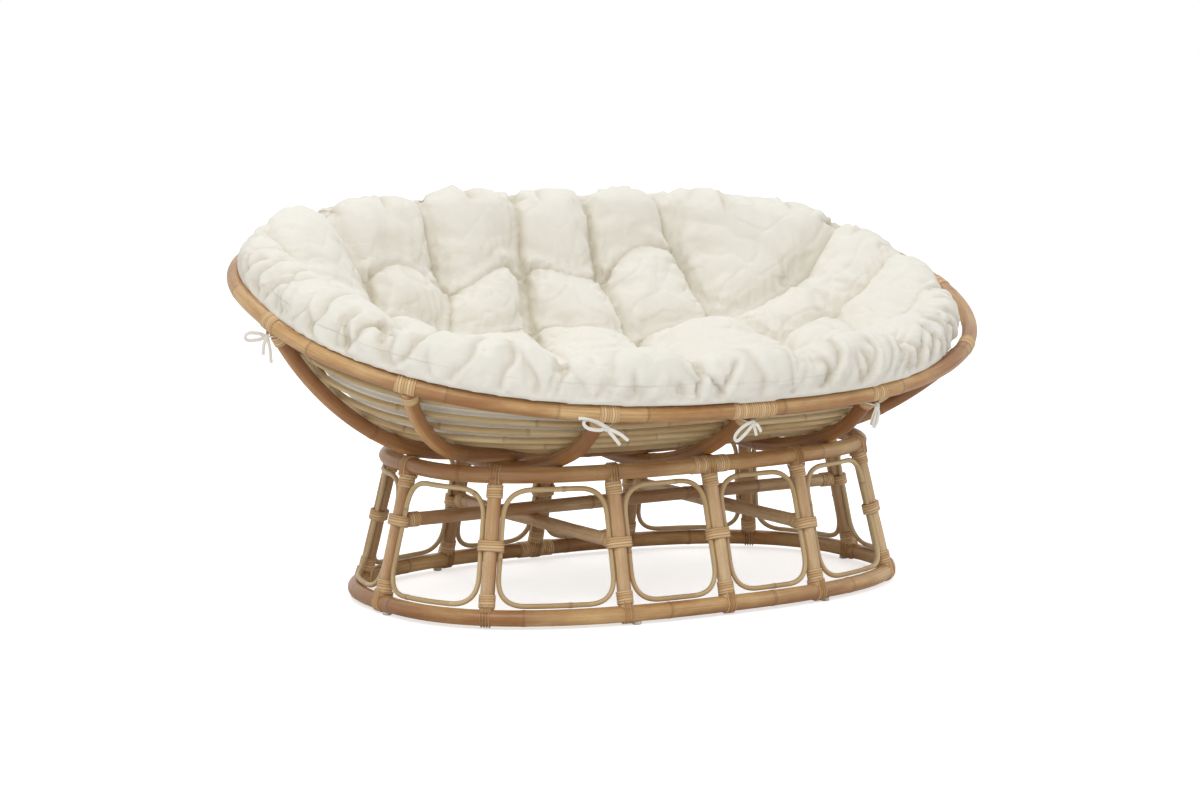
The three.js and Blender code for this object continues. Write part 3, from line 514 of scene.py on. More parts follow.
# %% The posts and their places
post_pole = 28
corner_angle, side_angle = 37, 72
post_angles = {
    "right": 0, "back_right_corner": corner_angle, "back_right": side_angle, "back_centre": 90,
    "back_left": 180 - side_angle, "back_left_corner": 180 - corner_angle, "left": 180,
    "front_left_corner": 180 + corner_angle, "front_left": 180 + side_angle, "front_centre": 270,
    "front_right": 360 - side_angle, "front_right_corner": 360 - corner_angle,
}
collar_start, collar_length = 18, 27
cross_height, long_height = 156.08, 181.3
post_feet = {name: post_spot(angle, bottom_ring_height, *bottom_oval) for name, angle in post_angles.items()}
post_heads = {name: post_spot(angle, top_ring_height, *top_oval) for name, angle in post_angles.items()}


def post_at(name, height):
    """The point on a post's centre line at a height."""
    share = (height - bottom_ring_height) / ring_rise
    return post_feet[name] * (1 - share) + post_heads[name] * share


def post_outward(name):
    """The level direction square to the oval at a post's foot."""
    x, y, _ = post_feet[name]
    half_length, half_depth, _ = bottom_oval
    return unit(np.array([x / half_length**2, y / half_depth**2, 0.0]))


def ring_direction(path, spot):
    """The ring's own direction at the point nearest to a spot."""
    nearest = np.argmin(np.linalg.norm(path - spot, axis=1))
    return unit(path[(nearest + 3) % len(path)] - path[nearest - 3])


# %% [markdown]
# A strand over the ring is a flat strip: a low ellipse carried along a path that starts low on the
# outside of the post, passes round the ring and comes down inside.

# %% Strands over a ring
saddle_strands = 4
flat_width, flat_step, flat_sides = 5.0, 2.5, 10
strand_room = strand_thickness / 2 + 0.2


def strand(name, path, facing, tone):
    """A flat strip: across cos a * width / 2 + over sin a * thickness / 2."""
    points = evenly(path, flat_step)
    angle = angles_round(flat_sides)
    wide, high = flat_width / 2 * np.cos(angle), strand_thickness / 2 * np.sin(angle)
    grid = carried(points, *frames(points, facing), wide, high)
    # groove carries painted shade along the strip's two edges.
    groove = np.abs(np.cos(angle))[None] ** 6 * 0.8
    turns = np.full(len(points) + 1, tone + 1.5)
    surface(name, grid, turns, "stand", peel.material, values={"groove": groove})


def saddle(name, joint, post_direction, ring_tangent):
    """Strands side by side over a ring: down the post, more than half way round the ring, down again."""
    lift = pole / 2 + strand_room
    side = unit(np.cross(ring_tangent, post_direction))
    angle = np.radians(np.linspace(-12, 192, 26))
    over = joint + lift * (np.cos(angle)[:, None] * side - np.sin(angle)[:, None] * post_direction)
    low, leg = joint + post_direction * (collar_start + 6), side * (post_pole / 2 + strand_room)
    path = np.vstack([low + leg, over, low - leg])
    along_ring = unit(ring_tangent - post_direction * (ring_tangent @ post_direction))
    for number in range(saddle_strands):
        shift = (number - (saddle_strands - 1) / 2) * strand_width
        strand(f"{name}_{number + 1}", path + along_ring * shift, along_ring, dice.integers(0, 99))


def bound_end(name, joint, post_direction, ring_path, facing):
    """The saddle over the ring and the collar below it."""
    saddle(f"{name}_strand", joint, post_direction, ring_direction(ring_path, joint))
    start = joint + post_direction * collar_start
    stand_wrap(f"{name}_collar", start, post_direction, collar_length, post_pole / 2 + 1, facing)


# %% Posts with their lashings
end_gap, wrap_height = 8, 22
for post in post_angles:
    foot, head, facing = post_feet[post], post_heads[post], post_outward(post)
    lean = unit(head - foot)
    rattan(f"post_{post}", straight(foot + lean * end_gap, head - lean * end_gap), post_pole, facing, "stand",
           "rattan_post")
    bound_end(f"foot_{post}", foot, lean, bottom_path, facing)
    bound_end(f"head_{post}", head, -lean, top_path, facing)
    middle = post_at(post, long_height if post in ("left", "right") else cross_height)
    stand_wrap(f"middle_wrap_{post}", middle - lean * wrap_height / 2, lean, wrap_height,
               post_pole / 2 + 0.6, facing, spread=10)
print("posts:", len(post_angles))

# %% [markdown]
# ## Loops
# In each bay a thin cane is bent into a rounded frame and tied to the two posts at their middle wraps.
# The bay is a leaning, slightly bent surface, so the frame is drawn flat first, as four corners joined
# by quadratic curves, and each of its points is then set between the two rings.

# %% Rounded frames
loop_pole, loop_corner, loop_top_gap, loop_bottom_gap = 10, 56, 7, 2
bay_steps, cane_sides = 200, 14


def turn_at(spot):
    """The share of a full turn at which a place lies."""
    return np.arctan2(spot[1], spot[0]) / (2 * np.pi) % 1


def ring_between(path, start, end):
    """The stretch of a ring from one post to the next, and its length."""
    along = lengths_along(path, True)
    turns = np.append(np.unwrap(turn_at(path.T) * 2 * np.pi) / (2 * np.pi), 1)
    places = [np.interp(turn_at(spot), turns, along) for spot in (start, end)]
    if places[1] < places[0]:
        places[1] += along[-1]
    spaced = np.linspace(*places, bay_steps) % along[-1]
    return sampled(spaced, along, with_end(path, True)), places[1] - places[0]


def rounded_frame(corners, reach):
    """A closed outline: at each corner a quadratic curve (1 - t)^2 a + 2 t (1 - t) c + t^2 b."""
    parts = []
    t = np.linspace(0, 1, 16)[:, None]
    for index, corner in enumerate(corners):
        before, after = corners[index - 1], corners[(index + 1) % len(corners)]
        a, b = corner + unit(before - corner) * reach, corner + unit(after - corner) * reach
        parts.append((1 - t) ** 2 * a + 2 * t * (1 - t) * corner + t**2 * b)
    return np.vstack(parts)


def loop_path(first, second):
    """The frame of a bay as points in space."""
    low, low_length = ring_between(bottom_path, post_feet[first], post_feet[second])
    high, high_length = ring_between(top_path, post_heads[first], post_heads[second])
    height = np.linalg.norm(post_heads[first] - post_feet[first])
    side, edge = post_pole / 2 + loop_pole / 2 + 0.3, pole / 2 + loop_pole / 2
    bottom, top = edge + loop_bottom_gap, height - edge - loop_top_gap
    halves = low_length / 2 - side, high_length / 2 - side
    corners = [np.array([end * (halves[0] + (halves[1] - halves[0]) * rise / height), rise])
               for end, rise in ((1, bottom), (1, top), (-1, top), (-1, bottom))]
    outline = np.pad(rounded_frame(corners, loop_corner), ((0, 0), (0, 1)))
    across, rise, _ = evenly(outline, 3, closed=True).T
    level = rise / height
    share = (across / (low_length / 2 + (high_length - low_length) / 2 * level) + 1) / 2 * (bay_steps - 1)
    at_low, at_high = (sampled(share, np.arange(bay_steps), part) for part in (low, high))
    return at_low * (1 - level[:, None]) + at_high * level[:, None]


posts = list(post_angles)
for index, (first, second) in enumerate(zip(posts, posts[1:] + posts[:1]), 1):
    facing = unit(post_outward(first) + post_outward(second))
    path = loop_path(first, second)
    rattan(f"loop_{index:02d}", path, loop_pole, facing, "stand", "rattan_thin_pole", True, cane_sides, "cane")
print("loops:", len(posts))

# %% [markdown]
# ## Stretchers, ring splices and glides
# One long stretcher ties the two end posts and lies on two cross ones. Their ends butt on the posts and
# are bound there. The rings' splices are bound too, and small plastic glides sit under the bottom ring.

# %% Stretchers
stretcher_pole = 27
stretcher_gap, wrap_start, wrap_length = 6, 17, 27

for name, start, end, height in (("long_stretcher", "left", "right", long_height),
                                 ("cross_stretcher_left", "front_left", "back_left", cross_height),
                                 ("cross_stretcher_right", "front_right", "back_right", cross_height)):
    start, end = post_at(start, height), post_at(end, height)
    reach = unit(end - start)
    rattan(name, straight(start + reach * stretcher_gap, end - reach * stretcher_gap), stretcher_pole, upward,
           "stand", "rattan_post")
    for number, (spot, inward) in enumerate(((start, reach), (end, -reach)), 1):
        stand_wrap(f"{name}_wrap_{number}", spot + inward * wrap_start, inward, wrap_length,
                   stretcher_pole / 2 + 0.4, upward)

# %% Splices of the two rings
splice_length = 82


def splice(name, path, spot, length, facing, body):
    """A winding round a thick pole, over a stretch of its closed path that is centred on a spot."""
    nearest = np.argmin(np.linalg.norm(path - spot, axis=1))
    half = round(length / 2 / np.linalg.norm(path[1] - path[0]))
    stretch = path[(nearest + np.arange(-half, half + 1)) % len(path)]
    winding(name, stretch, pole / 2 + 0.2, facing, body)


splice("bottom_ring_splice", bottom_path, post_feet["back_centre"], splice_length, upward, "stand")
splice("top_ring_splice", top_path, post_heads["front_centre"], splice_length, upward, "stand")

# %% Glides
glide_sides = 28
glide_outline = np.array([(0.4, 7), (8.2, 7), (9, 6.2), (9, 1.5), (7.5, 0), (0.4, 0)])


def turned(name, centre, profile, body, slot, material, stands_for):
    """A lathe shape: each (radius, height) of the profile goes round the centre."""
    radius, height = profile.T
    angle = -angles_round(glide_sides)
    grid = np.stack([centre[0] + radius[:, None] * np.cos(angle), centre[1] + radius[:, None] * np.sin(angle),
                     np.broadcast_to(centre[2] + height[:, None], (len(radius), glide_sides))], axis=2)
    surface(name, grid, lengths_along(profile) / 1000, body, material, stands_for)


plastic = Finish("pale plastic")
scuffs = plastic.noise(plastic.node("ShaderNodeTexCoord", output=3), 240, 3.0)
plastic_colour = plastic.stain(shade(226, 220, 208), [(scuffs, 0.4, 0.7, 1, shade(200, 190, 172))])
plastic.look(Base_Color=plastic_colour, Roughness=0.5)
plastic.bump(scuffs, 0.0002)
for post in posts[::2]:
    low, high = (np.array(corner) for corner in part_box(f"glide_{post}"))
    centre = ((low + high) / 2 - stand_middle) * 1000 * [1, 1, 0]
    turned(f"glide_{post}_disc", centre, glide_outline, "stand", "glide_plastic", plastic.material,
           (f"glide_{post}",))
print("glides:", len(posts[::2]))

# %% [markdown]
# ## The bowl's rim
# The rim is one long oval of thick pole, tilted back, that reaches further in front than behind and
# sags a little front and back. Its two ends meet in a long splice at the front.

# %% Rim
rim_front, rim_back, rim_half, rim_squareness = 536, 461, 811, 2.36
rim_height, rim_tilt, rim_set_back, rim_sag = 607.08, math.radians(18.3), 64.6, 22
rim_up = np.array([0, -math.sin(rim_tilt), math.cos(rim_tilt)])


def rim_place(x, reach):
    """A point of the rim's tilted plane; it sags by the square of its reach front to back."""
    x, reach = np.broadcast_arrays(np.asarray(x, float), np.asarray(reach, float))
    return np.stack([x, rim_set_back + reach * math.cos(rim_tilt),
                     rim_height + reach * math.sin(rim_tilt) - rim_sag * (reach / rim_front) ** 2], axis=-1)


def rim_point(turn):
    """The rim at a share of a full turn: an oval with a longer front half."""
    turn = np.asarray(turn, float) % 1
    back, front = (flat_oval(turn, rim_half, depth, rim_squareness) for depth in (rim_back, rim_front))
    return rim_place(*(np.where(turn < 0.5, *pair) for pair in zip(back, front)))


def rim_step(turn):
    """A short step along the rim at a turn."""
    return rim_point(turn + 0.001) - rim_point(turn - 0.001)


def rim_outwards(turn):
    """The direction out of the bowl, in the rim's plane."""
    return unit(np.cross(rim_step(turn), rim_up))


def above_rim(points):
    """How far points lie above the rim's plane."""
    return (points - rim_place(0, 0)) @ rim_up


def rim_turn(x, side):
    """The turn at a place along the rim's length, in front (side -1) or behind (side 1)."""
    depth = rim_front if side < 0 else rim_back
    return float(turn_at((x, side * half_way_across(x, rim_half, depth, rim_squareness))))


def end_turn(side):
    """The turn at an end, where the rim passes over the middle of the stand."""
    reach = -rim_set_back / math.cos(rim_tilt)
    return float(turn_at((side * half_way_across(reach, rim_front, rim_half, rim_squareness), reach)))


rim_path = evenly(rim_point(dense), 2, closed=True)
rattan("rim", rim_path, pole, rim_up, "bowl", "rattan_thick_pole", True, 28)
print("rim length in mm:", lengths_along(rim_path, True)[-1].round())

# %% [markdown]
# ## Bent poles of the bowl
# Three short poles run from the front of the rim, round under the seat, to its back; they are round
# where they lie in the stand's upper ring. Three long ones cross over them from end to end, and the
# outer two of those flare out to the rim's corners. Each is a chain of cubic curves through a few
# places with a given slope, like a spline bent over pegs.

# %% Curves through pegs


def through_pegs(pegs):
    """Cubic curves (1-t)^3 a + 3 t (1-t)^2 b + 3 t^2 (1-t) c + t^3 d, with handles along each peg's slope."""
    parts = []
    t = np.linspace(0, 1, 120)[:, None]
    for (start, slope_out, _, on), (end, slope_in, back, _) in zip(pegs[:-1], pegs[1:]):
        start, end = np.array(start, float), np.array(end, float)
        span = np.linalg.norm(end - start)
        angles = np.radians((slope_out, slope_in))
        first, second = (np.array([math.cos(angle), math.sin(angle)]) for angle in angles)
        b, c = start + first * on * span, end - second * back * span
        parts.append((1 - t) ** 3 * start + 3 * t * (1 - t) ** 2 * b + 3 * t**2 * (1 - t) * c + t**3 * end)
    return np.vstack([part[:-1] for part in parts[:-1]] + [parts[-1]])


arc_pole = 30
short_spacing, flare_x = 318, 666
rock_rise = 747
rock_height = top_ring_height + rock_rise
flat_share = math.cos(math.pi / 8)
winding_room = 1.8

# Leans of a short pole where its round part starts and ends, its slopes at the rim, and the slope of a long
# pole on the ring, all in degrees; a handle is a share of the way between two pegs
lean_front, lean_back, front_slope, back_slope, ring_slope = 23, 28.5, -34, 84, 17
handle, rim_handle, past_ring_handle = 0.36, 0.46, 0.18


def rock_radius(x):
    """How far a short pole lies from the rocking axis, so that it rests on the top ring."""
    rest = pole / 2 + (winding_room if x == 0 else 0) + arc_pole / 2 * flat_share + 1
    return math.hypot(half_way_across(x, *top_oval), rock_rise) - rest


def short_arc(x):
    """A short pole: down from the front of the rim, round under the seat and steeply up to the back."""
    radius = rock_radius(x)
    front, back = rim_point(rim_turn(x, -1)), rim_point(rim_turn(x, 1))
    sweep = math.radians(lean_front + lean_back)
    round_handle = (4 / 3) * math.tan(sweep / 4) / (2 * math.sin(sweep / 2))
    on_round = [(radius * math.sin(a), rock_height - radius * math.cos(a)) for a in
                np.radians((-lean_front, lean_back))]
    y, z = through_pegs([
        (front[1:], front_slope, 0, handle), (on_round[0], -lean_front, handle, round_handle),
        (on_round[1], lean_back, round_handle, handle), (back[1:], back_slope, rim_handle, 0)]).T
    return np.stack([np.full_like(y, x), y, z], axis=1)


def over_short_arc(x, y):
    """Height of a long pole where it lies over a short one."""
    return rock_height - math.sqrt((rock_radius(x) - arc_pole * flat_share - 2) ** 2 - y**2)


def long_arc(turn, ring_x, slope, middle_y, side, lift):
    """A long pole: level over the middle, resting on the ring's ends, then up to the rim."""
    end = rim_point(turn)

    def depth(x):
        return side * (middle_y + abs(end[1] - side * middle_y) * np.abs(x / end[0]) ** 4)

    middle, beside = over_short_arc(0, middle_y), over_short_arc(short_spacing, depth(short_spacing))
    beside_slope = math.degrees(math.atan2(2 * (beside - middle), short_spacing))
    rest = pole / 2 + arc_pole / 2 + winding_room + lift
    on_ring = top_ring_height + rest / math.cos(math.radians(ring_slope))
    half = [((short_spacing, beside), beside_slope, handle, handle),
            ((ring_x, on_ring), ring_slope, handle, past_ring_handle),
            ((end[0], end[2]), slope, rim_handle, 0)]
    mirrored = [((-place[0], place[1]), -rise, on, back) for place, rise, back, on in half[::-1]]
    x, z = through_pegs([*mirrored, ((0, middle), 0, handle, handle), *half]).T
    return np.stack([x, depth(x), z], axis=1)


arc_paths = {
    "short_arc_left": short_arc(-short_spacing), "short_arc_centre": short_arc(0),
    "short_arc_right": short_arc(short_spacing),
    "long_arc_middle": long_arc(end_turn(1), 510, 62, 0, 0, 0),
    "long_arc_front": long_arc(rim_turn(flare_x, -1), 488, 60, 70, -1, 6),
    "long_arc_back": long_arc(rim_turn(flare_x, 1), 488, 78, 70, 1, 6),
}
neck_start, neck_end = 22, 46
for name, path in arc_paths.items():
    facing = np.array([1.0, 0, 0]) if name.startswith("short") else np.array([0, 1.0, 0])
    spaced = evenly(path, 4)
    rattan(name, spaced[3:-3], arc_pole, facing, "bowl", "rattan_bent_pole")
    for number, end in enumerate((spaced, spaced[::-1]), 1):
        along = lengths_along(end)
        neck = end[(along > neck_start) & (along < neck_end)]
        winding(f"{name}_neck_{number}", neck, arc_pole / 2 + 0.4, facing, "bowl")
print("bent poles:", {name: int(lengths_along(path)[-1]) for name, path in arc_paths.items()})

# %% [markdown]
# The rim is bound over at every bent pole, and over its splice at the front.

# %% Windings on the rim
rim_splice_length, rim_wrap_length = 98, 38
rim_spots = {"right_corner": flare_x, "right": short_spacing, "centre": 0, "left": -short_spacing,
             "left_corner": -flare_x}
rim_joints = {"end_right": end_turn(1)}
rim_joints.update({f"back_{name}": rim_turn(x, 1) for name, x in rim_spots.items()})
rim_joints["end_left"] = end_turn(-1)
rim_joints.update({f"front_{name}": rim_turn(x, -1) for name, x in reversed(rim_spots.items())})
for name, turn in rim_joints.items():
    length = rim_splice_length if name == "front_centre" else rim_wrap_length
    splice(f"rim_wrap_{name}", rim_path, rim_point(turn), length, rim_up, "bowl")
print("rim windings:", len(rim_joints))

# %% [markdown]
# ## Slats
# Rings of thin cane lie inside the bent poles and carry the cushion. Each passes through one point of
# every pole, offset inwards, and a smooth closed curve joins the twelve points.

# %% Rings inside the bowl
slat_pole = 12.5
slat_shares = (0.09, 0.16, 0.23, 0.31, 0.4, 0.5)
half_arcs = [("long_arc_middle", 1), ("long_arc_back", 1), ("short_arc_right", 1), ("short_arc_centre", 1),
             ("short_arc_left", 1), ("long_arc_back", 0), ("long_arc_middle", 0), ("long_arc_front", 0),
             ("short_arc_left", 0), ("short_arc_centre", 0), ("short_arc_right", 0), ("long_arc_front", 1)]


def catmull_rom(a, b, c, d, t):
    """The curve from b to c whose slope at each is half the step past its neighbours."""
    return 0.5 * (2 * b + (c - a) * t + (2 * a - 5 * b + 4 * c - d) * t**2 + (3 * b - a - 3 * c + d) * t**3)


def closed_spline(knots, steps=24):
    """A smooth closed curve through its knots."""
    t = np.linspace(0, 1, steps, endpoint=False)[None, :, None]
    return catmull_rom(*(np.roll(knots, shift, 0)[:, None] for shift in (1, 0, -1, -2)), t).reshape(-1, 3)


def down_pole(name, end, share):
    """The point and direction at a share of the way from the rim's end of a pole to its lowest point."""
    path = evenly(arc_paths[name], 2)
    along = lengths_along(path) / lengths_along(path)[-1]
    goal = end + (along[np.argmin(path[:, 2])] - end) * share
    before, after = (sampled(goal + nudge, along, path) for nudge in (-0.004, 0.004))
    return (before + after) / 2, unit(after - before)


def bowl_knots(share, offset):
    """Twelve points inside the bowl at a share down each pole."""
    centres, directions = (np.array(part) for part in zip(*(down_pole(*half, share) for half in half_arcs)))
    inward = unit(np.cross(np.roll(centres, -1, 0) - np.roll(centres, 1, 0), directions))
    return centres + inward * np.where(inward[:, 2:] < 0, -1, 1) * offset


for number, share in enumerate(slat_shares, 1):
    path = closed_spline(bowl_knots(share, arc_pole / 2 + slat_pole / 2 + 0.5))
    rattan(f"slat_{number}", path, slat_pole, upward, "bowl", "rattan_thin_pole", True, cane_sides, "cane")
print("slats:", len(slat_shares))

# %% [markdown]
# ## Cushion
# One big pad of off-white cotton fills the bowl. Its underside follows the slats, its edge is a fat
# gathered roll that lies on the rim, and its top sinks to the middle of the seat. Stitches through the
# pad, the tufts, pull it down in two rings and leave pillows between them, parted by deep creases.
#
# The pad starts as a smooth closed surface: rows of points round the bowl, from the middle of the
# underside, out and over the roll, and in to the middle of the seat. A curve down each column then
# gives as many rows as are wanted.

# %% Rows of the smooth pad
steps_per_pole = 30
cushion_columns = len(half_arcs) * steps_per_pole
cushion_base = 35
seat_thickness, seat_power = 150, 3
roll_front, roll_back, roll_width, roll_overhang = 112, 72, 104, -4
roll_shelf, shelf_drop = 19.4, 34
edge_in, edge_slip_in, edge_slip_down = 22, 52, 50

# Where the pad has slipped in and leaves the rim bare: the turn, how far it reaches on each side, and its share
slips = [(-0.035, 0.07, 0.1, 1), (0.49, 0.06, 0.05, 0.32)]
slip_in, slip_lower = 68, 0.33


def column_turns():
    """The rim's turn at each column, spaced evenly between the bent poles."""
    turns = np.array(list(rim_joints.values()))
    turns[0] -= turns[0] > 0.5
    closed_turns = np.append(turns, turns[0] + 1)
    return np.interp(np.arange(cushion_columns) / steps_per_pole, np.arange(len(closed_turns)), closed_turns)


def end_slip(turn):
    """Bells exp(-(distance / reach)^2): 1 where the pad has slipped in most, 0 where it hasn't."""
    total = 0
    for place, before, behind, share in slips:
        away = (turn - place + 0.5) % 1 - 0.5
        total = total + share * np.exp(-((away / np.where(away > 0, behind, before)) ** 2))
    return total


def roll_height(turn):
    """The roll's height: greatest in front, least behind, and lower where the pad has slipped in."""
    in_front = (1 - np.sin(2 * np.pi * turn)) / 2
    return (roll_back + (roll_front - roll_back) * in_front) * (1 - slip_lower * end_slip(turn))


cushion_turns = column_turns()
rim_centres, outward = rim_point(cushion_turns), rim_outwards(cushion_turns)
slipped, roll_heights = end_slip(cushion_turns), roll_height(cushion_turns)


def beside_rim(out, up):
    """Points beside the rim: so far outwards, and so far up from its plane."""
    return rim_centres + outward * out[:, None] + rim_up * up[:, None]


def roll_row(across, rise):
    """A row of the roll: shares across its width, and of its height, which is greater in front."""
    low = roll_shelf - shelf_drop * slipped
    return beside_rim(pole / 2 + roll_overhang - roll_width * across - slip_in * slipped,
                      low + (roll_heights - low) * rise)


underside = [closed_spline(bowl_knots(share, cushion_base), steps_per_pole)
             for share in (0.8, 0.6, 0.44, 0.27, 0.11)]
cushion_floor = np.array([0, 0, arc_paths["long_arc_middle"][:, 2].min() + arc_pole / 2 + 8])
seat_crown = cushion_floor + [0, 0, seat_thickness]
inner_edge = beside_rim(-(edge_in + edge_slip_in * slipped), roll_shelf - edge_slip_down * slipped)
roll = [roll_row(*shares) for shares in ((0, 0), (-0.06, 0.4), (0.06, 0.8), (0.34, 1), (0.7, 0.92), (1, 0.62))]
seat_out = (roll[-1] - seat_crown) * [1, 1, 0]
seat_rise = (roll[-1] - seat_crown) * [0, 0, 1]
seat = [seat_crown + seat_out * share + seat_rise * share**seat_power for share in
        (0.88, 0.75, 0.6, 0.45, 0.3, 0.15, 0.03)]
lowest = cushion_floor + (underside[0] - cushion_floor) * 0.05
pad_rows = np.array([lowest, *underside, inner_edge, *roll, *seat])
print("smooth pad:", pad_rows.shape)

# %% A smooth surface through the rows
pad_row_count = 260


def down_columns(rows, count):
    """A smooth curve down every column at once, then rows spaced evenly by the columns' mean length."""
    padded = np.concatenate([2 * rows[:1] - rows[1:2], rows, 2 * rows[-1:] - rows[-2:-1]])
    t = np.linspace(0, 1, 12, endpoint=False)[None, :, None, None]
    curves = catmull_rom(*(padded[shift:len(padded) - 3 + shift, None] for shift in range(4)), t)
    curves = np.concatenate([curves.reshape(-1, *rows.shape[1:]), rows[-1:]])
    length = np.cumsum(np.linalg.norm(np.diff(curves, axis=0, prepend=curves[:1]), axis=2), axis=0)
    places = (length / length[-1]).mean(axis=1)
    goal = np.linspace(0, 1, count)
    return np.stack([sampled(goal, places, curves[:, column]) for column in range(rows.shape[1])], axis=1)


pad_grid = down_columns(pad_rows, pad_row_count)

# %% [markdown]
# ### Tufts and creases
# The tufts were placed from the photograph, with the depth they are pulled in by counted, and the hidden
# front ones lie across from those behind. Each crease is a line in plan between two tufts or out to the
# edge, deep at its tufts and shallower between them, and it wavers a little. A crease falls off as
# exp(-distance / width), which has a sharp bottom and full sides.

# %% Places of the tufts and lines of the creases
outer_tufts = [(-437, 310), (-234, 339), (-33, 352), (161, 352), (346, 341), (568, 187), (545, 42), (480, -180),
               (298, -268), (98, -292), (-98, -292), (-298, -268), (-505, -160), (-590, 12)]
inner_tufts = [(-441, 240), (-284, 240), (-55, 262), (168, 222), (352, 202), (424, 52), (340, -90), (112, -110),
               (-112, -110), (-340, -90)]
tufts = np.array(outer_tufts + inner_tufts, float)
edge_line = roll[3][:, :2]

# Where the crease of each outer tuft meets the edge, and its depth at the tuft, half way and at the edge
edge_seams = [((-505, 405), 50, 34, 26), ((-245, 454), 58, 40, 30), ((0, 466), 58, 38, 26),
              ((179, 460), 58, 42, 28), ((346, 434), 60, 42, 30), ((692, 218), 60, 44, 30),
              ((740, 60), 50, 34, 22), ((700, -120), 42, 22, 14), ((420, -470), 58, 34, 22),
              ((130, -500), 58, 34, 22), ((-130, -500), 58, 34, 22), ((-420, -470), 58, 34, 22),
              ((-690, -240), 58, 36, 24), ((-690, 290), 56, 34, 22)]

# Creases from tuft to tuft, by number, the inner ones from 14: depth at the first, half way and at the second
tuft_seams = [(0, 1, 50, 22, 58), (1, 2, 58, 22, 58), (2, 3, 58, 24, 58), (3, 4, 58, 26, 60),
              (6, 7, 50, 14, 42), (7, 8, 42, 22, 58), (8, 9, 58, 20, 58), (9, 10, 58, 20, 58),
              (10, 11, 58, 20, 58), (11, 12, 58, 20, 58), (12, 13, 58, 20, 56), (0, 14, 50, 46, 56),
              (1, 15, 58, 30, 54), (2, 16, 58, 44, 54), (3, 17, 58, 34, 54), (4, 18, 60, 46, 56),
              (5, 18, 60, 44, 56), (6, 19, 50, 38, 54), (7, 20, 42, 24, 54), (8, 20, 58, 30, 54),
              (9, 21, 58, 30, 54), (10, 22, 58, 30, 54), (11, 23, 58, 30, 54), (12, 23, 58, 24, 54),
              (13, 14, 56, 24, 56), (14, 15, 56, 28, 54), (15, 16, 54, 34, 54), (16, 17, 54, 18, 54),
              (17, 18, 54, 34, 56), (18, 19, 56, 16, 54), (19, 20, 54, 20, 54), (20, 21, 54, 22, 54),
              (21, 22, 54, 22, 54), (22, 23, 54, 22, 54), (23, 14, 54, 14, 56), (16, 22, 54, 20, 54),
              (17, 21, 54, 20, 54), (15, 23, 54, 18, 54)]


def crease_lines():
    """Rows of start x, y, end x, y, and depth at the start, the middle and the end, in millimetres."""
    rows = []
    for spot, (aim, *depths) in zip(tufts, edge_seams):
        end = edge_line[np.argmin(np.linalg.norm(edge_line - np.array(aim), axis=1))]
        rows.append((*spot, *(spot + (end - spot) * 1.05), *depths))
    rows += [(*tufts[first], *tufts[second], *depths) for first, second, *depths in tuft_seams]
    return np.array(rows)


lines = crease_lines()
line_starts, line_ends, line_depths = lines[:, :2], lines[:, 2:4], lines[:, 4:]
waver_size, waver_amount, waver_waves = 260, 16, 5
print("tufts:", len(tufts), "creases:", len(lines))


def wavering_plan(points):
    """x and y of points, shifted by a few long random sine waves, so that straight lines come out wavering."""
    plan = points[:, :2]
    rng = np.random.default_rng(waver_size)
    shift = np.zeros_like(plan)
    for _ in range(waver_waves):
        direction, phase = unit(rng.normal(size=2)), rng.uniform(0, 6.28, 2)
        wave = plan @ direction * 2 * np.pi / (waver_size * rng.uniform(0.7, 1.5))
        shift += np.stack([np.sin(wave + phase[0]), np.sin(wave + phase[1])], axis=1)
    return plan + shift * waver_amount / waver_waves


def from_lines(plan):
    """Distance from each point to each crease, and how far along it the nearest place lies."""
    reach = line_ends - line_starts
    along = ((plan[:, None] - line_starts) * reach).sum(axis=2) / (reach**2).sum(axis=1)
    along = np.clip(along, 0, 1)
    return np.linalg.norm(plan[:, None] - line_starts - along[..., None] * reach, axis=2), along


def crease_depth(distance, along, width):
    """The deepest crease at each point: its depth there times exp(-distance / width).

    The depth follows the parabola through a crease's three depths, at 0, 1/2 and 1 of its length.
    """
    first, middle, last = line_depths.T
    depth = first * (1 - along) * (1 - 2 * along) + 4 * middle * along * (1 - along)
    depth += last * along * (2 * along - 1)
    return (depth * np.exp(-distance / width)).max(axis=1)


# %% Press the creases into the pad
crease_width = 34


def grid_normals(grid):
    """Outward normals of a grid: along the columns crossed with down the rows."""
    round_way = np.roll(grid, -1, axis=1) - np.roll(grid, 1, axis=1)
    return unit(np.cross(round_way, np.gradient(grid, axis=0)))


points, outwards = pad_grid.reshape(-1, 3), grid_normals(pad_grid).reshape(-1, 3)
on_top = np.clip((outwards[:, 2] - 0.05) / 0.3, 0, 1)
upper_rows = np.repeat(np.linspace(0, 1, pad_row_count) > 0.5, cushion_columns)
pressed_in = crease_depth(*from_lines(wavering_plan(points)), crease_width) * on_top * upper_rows
pressed = points - outwards * pressed_in[:, None]

# %% A closed mesh from the rows, made even
voxel = 0.009


def applied(piece):
    """The piece's mesh with its modifiers worked in, and the modifiers taken off."""
    made = bpy.data.meshes.new_from_object(piece.evaluated_get(bpy.context.evaluated_depsgraph_get()))
    piece.modifiers.clear()
    piece.data = made
    return made


def mesh_points(mesh):
    """Vertex places in millimetres about the stand."""
    values = np.empty(len(mesh.vertices) * 3)
    mesh.vertices.foreach_get("co", values)
    return (values.reshape(-1, 3) - stand_middle) * 1000


def mesh_normals(mesh):
    """Vertex normals."""
    values = np.empty(len(mesh.vertices) * 3)
    mesh.vertex_normals.foreach_get("vector", values)
    return values.reshape(-1, 3)


def move_points(mesh, points):
    """Put the vertices at new places."""
    mesh.vertices.foreach_set("co", to_metres(points).ravel())
    mesh.update()


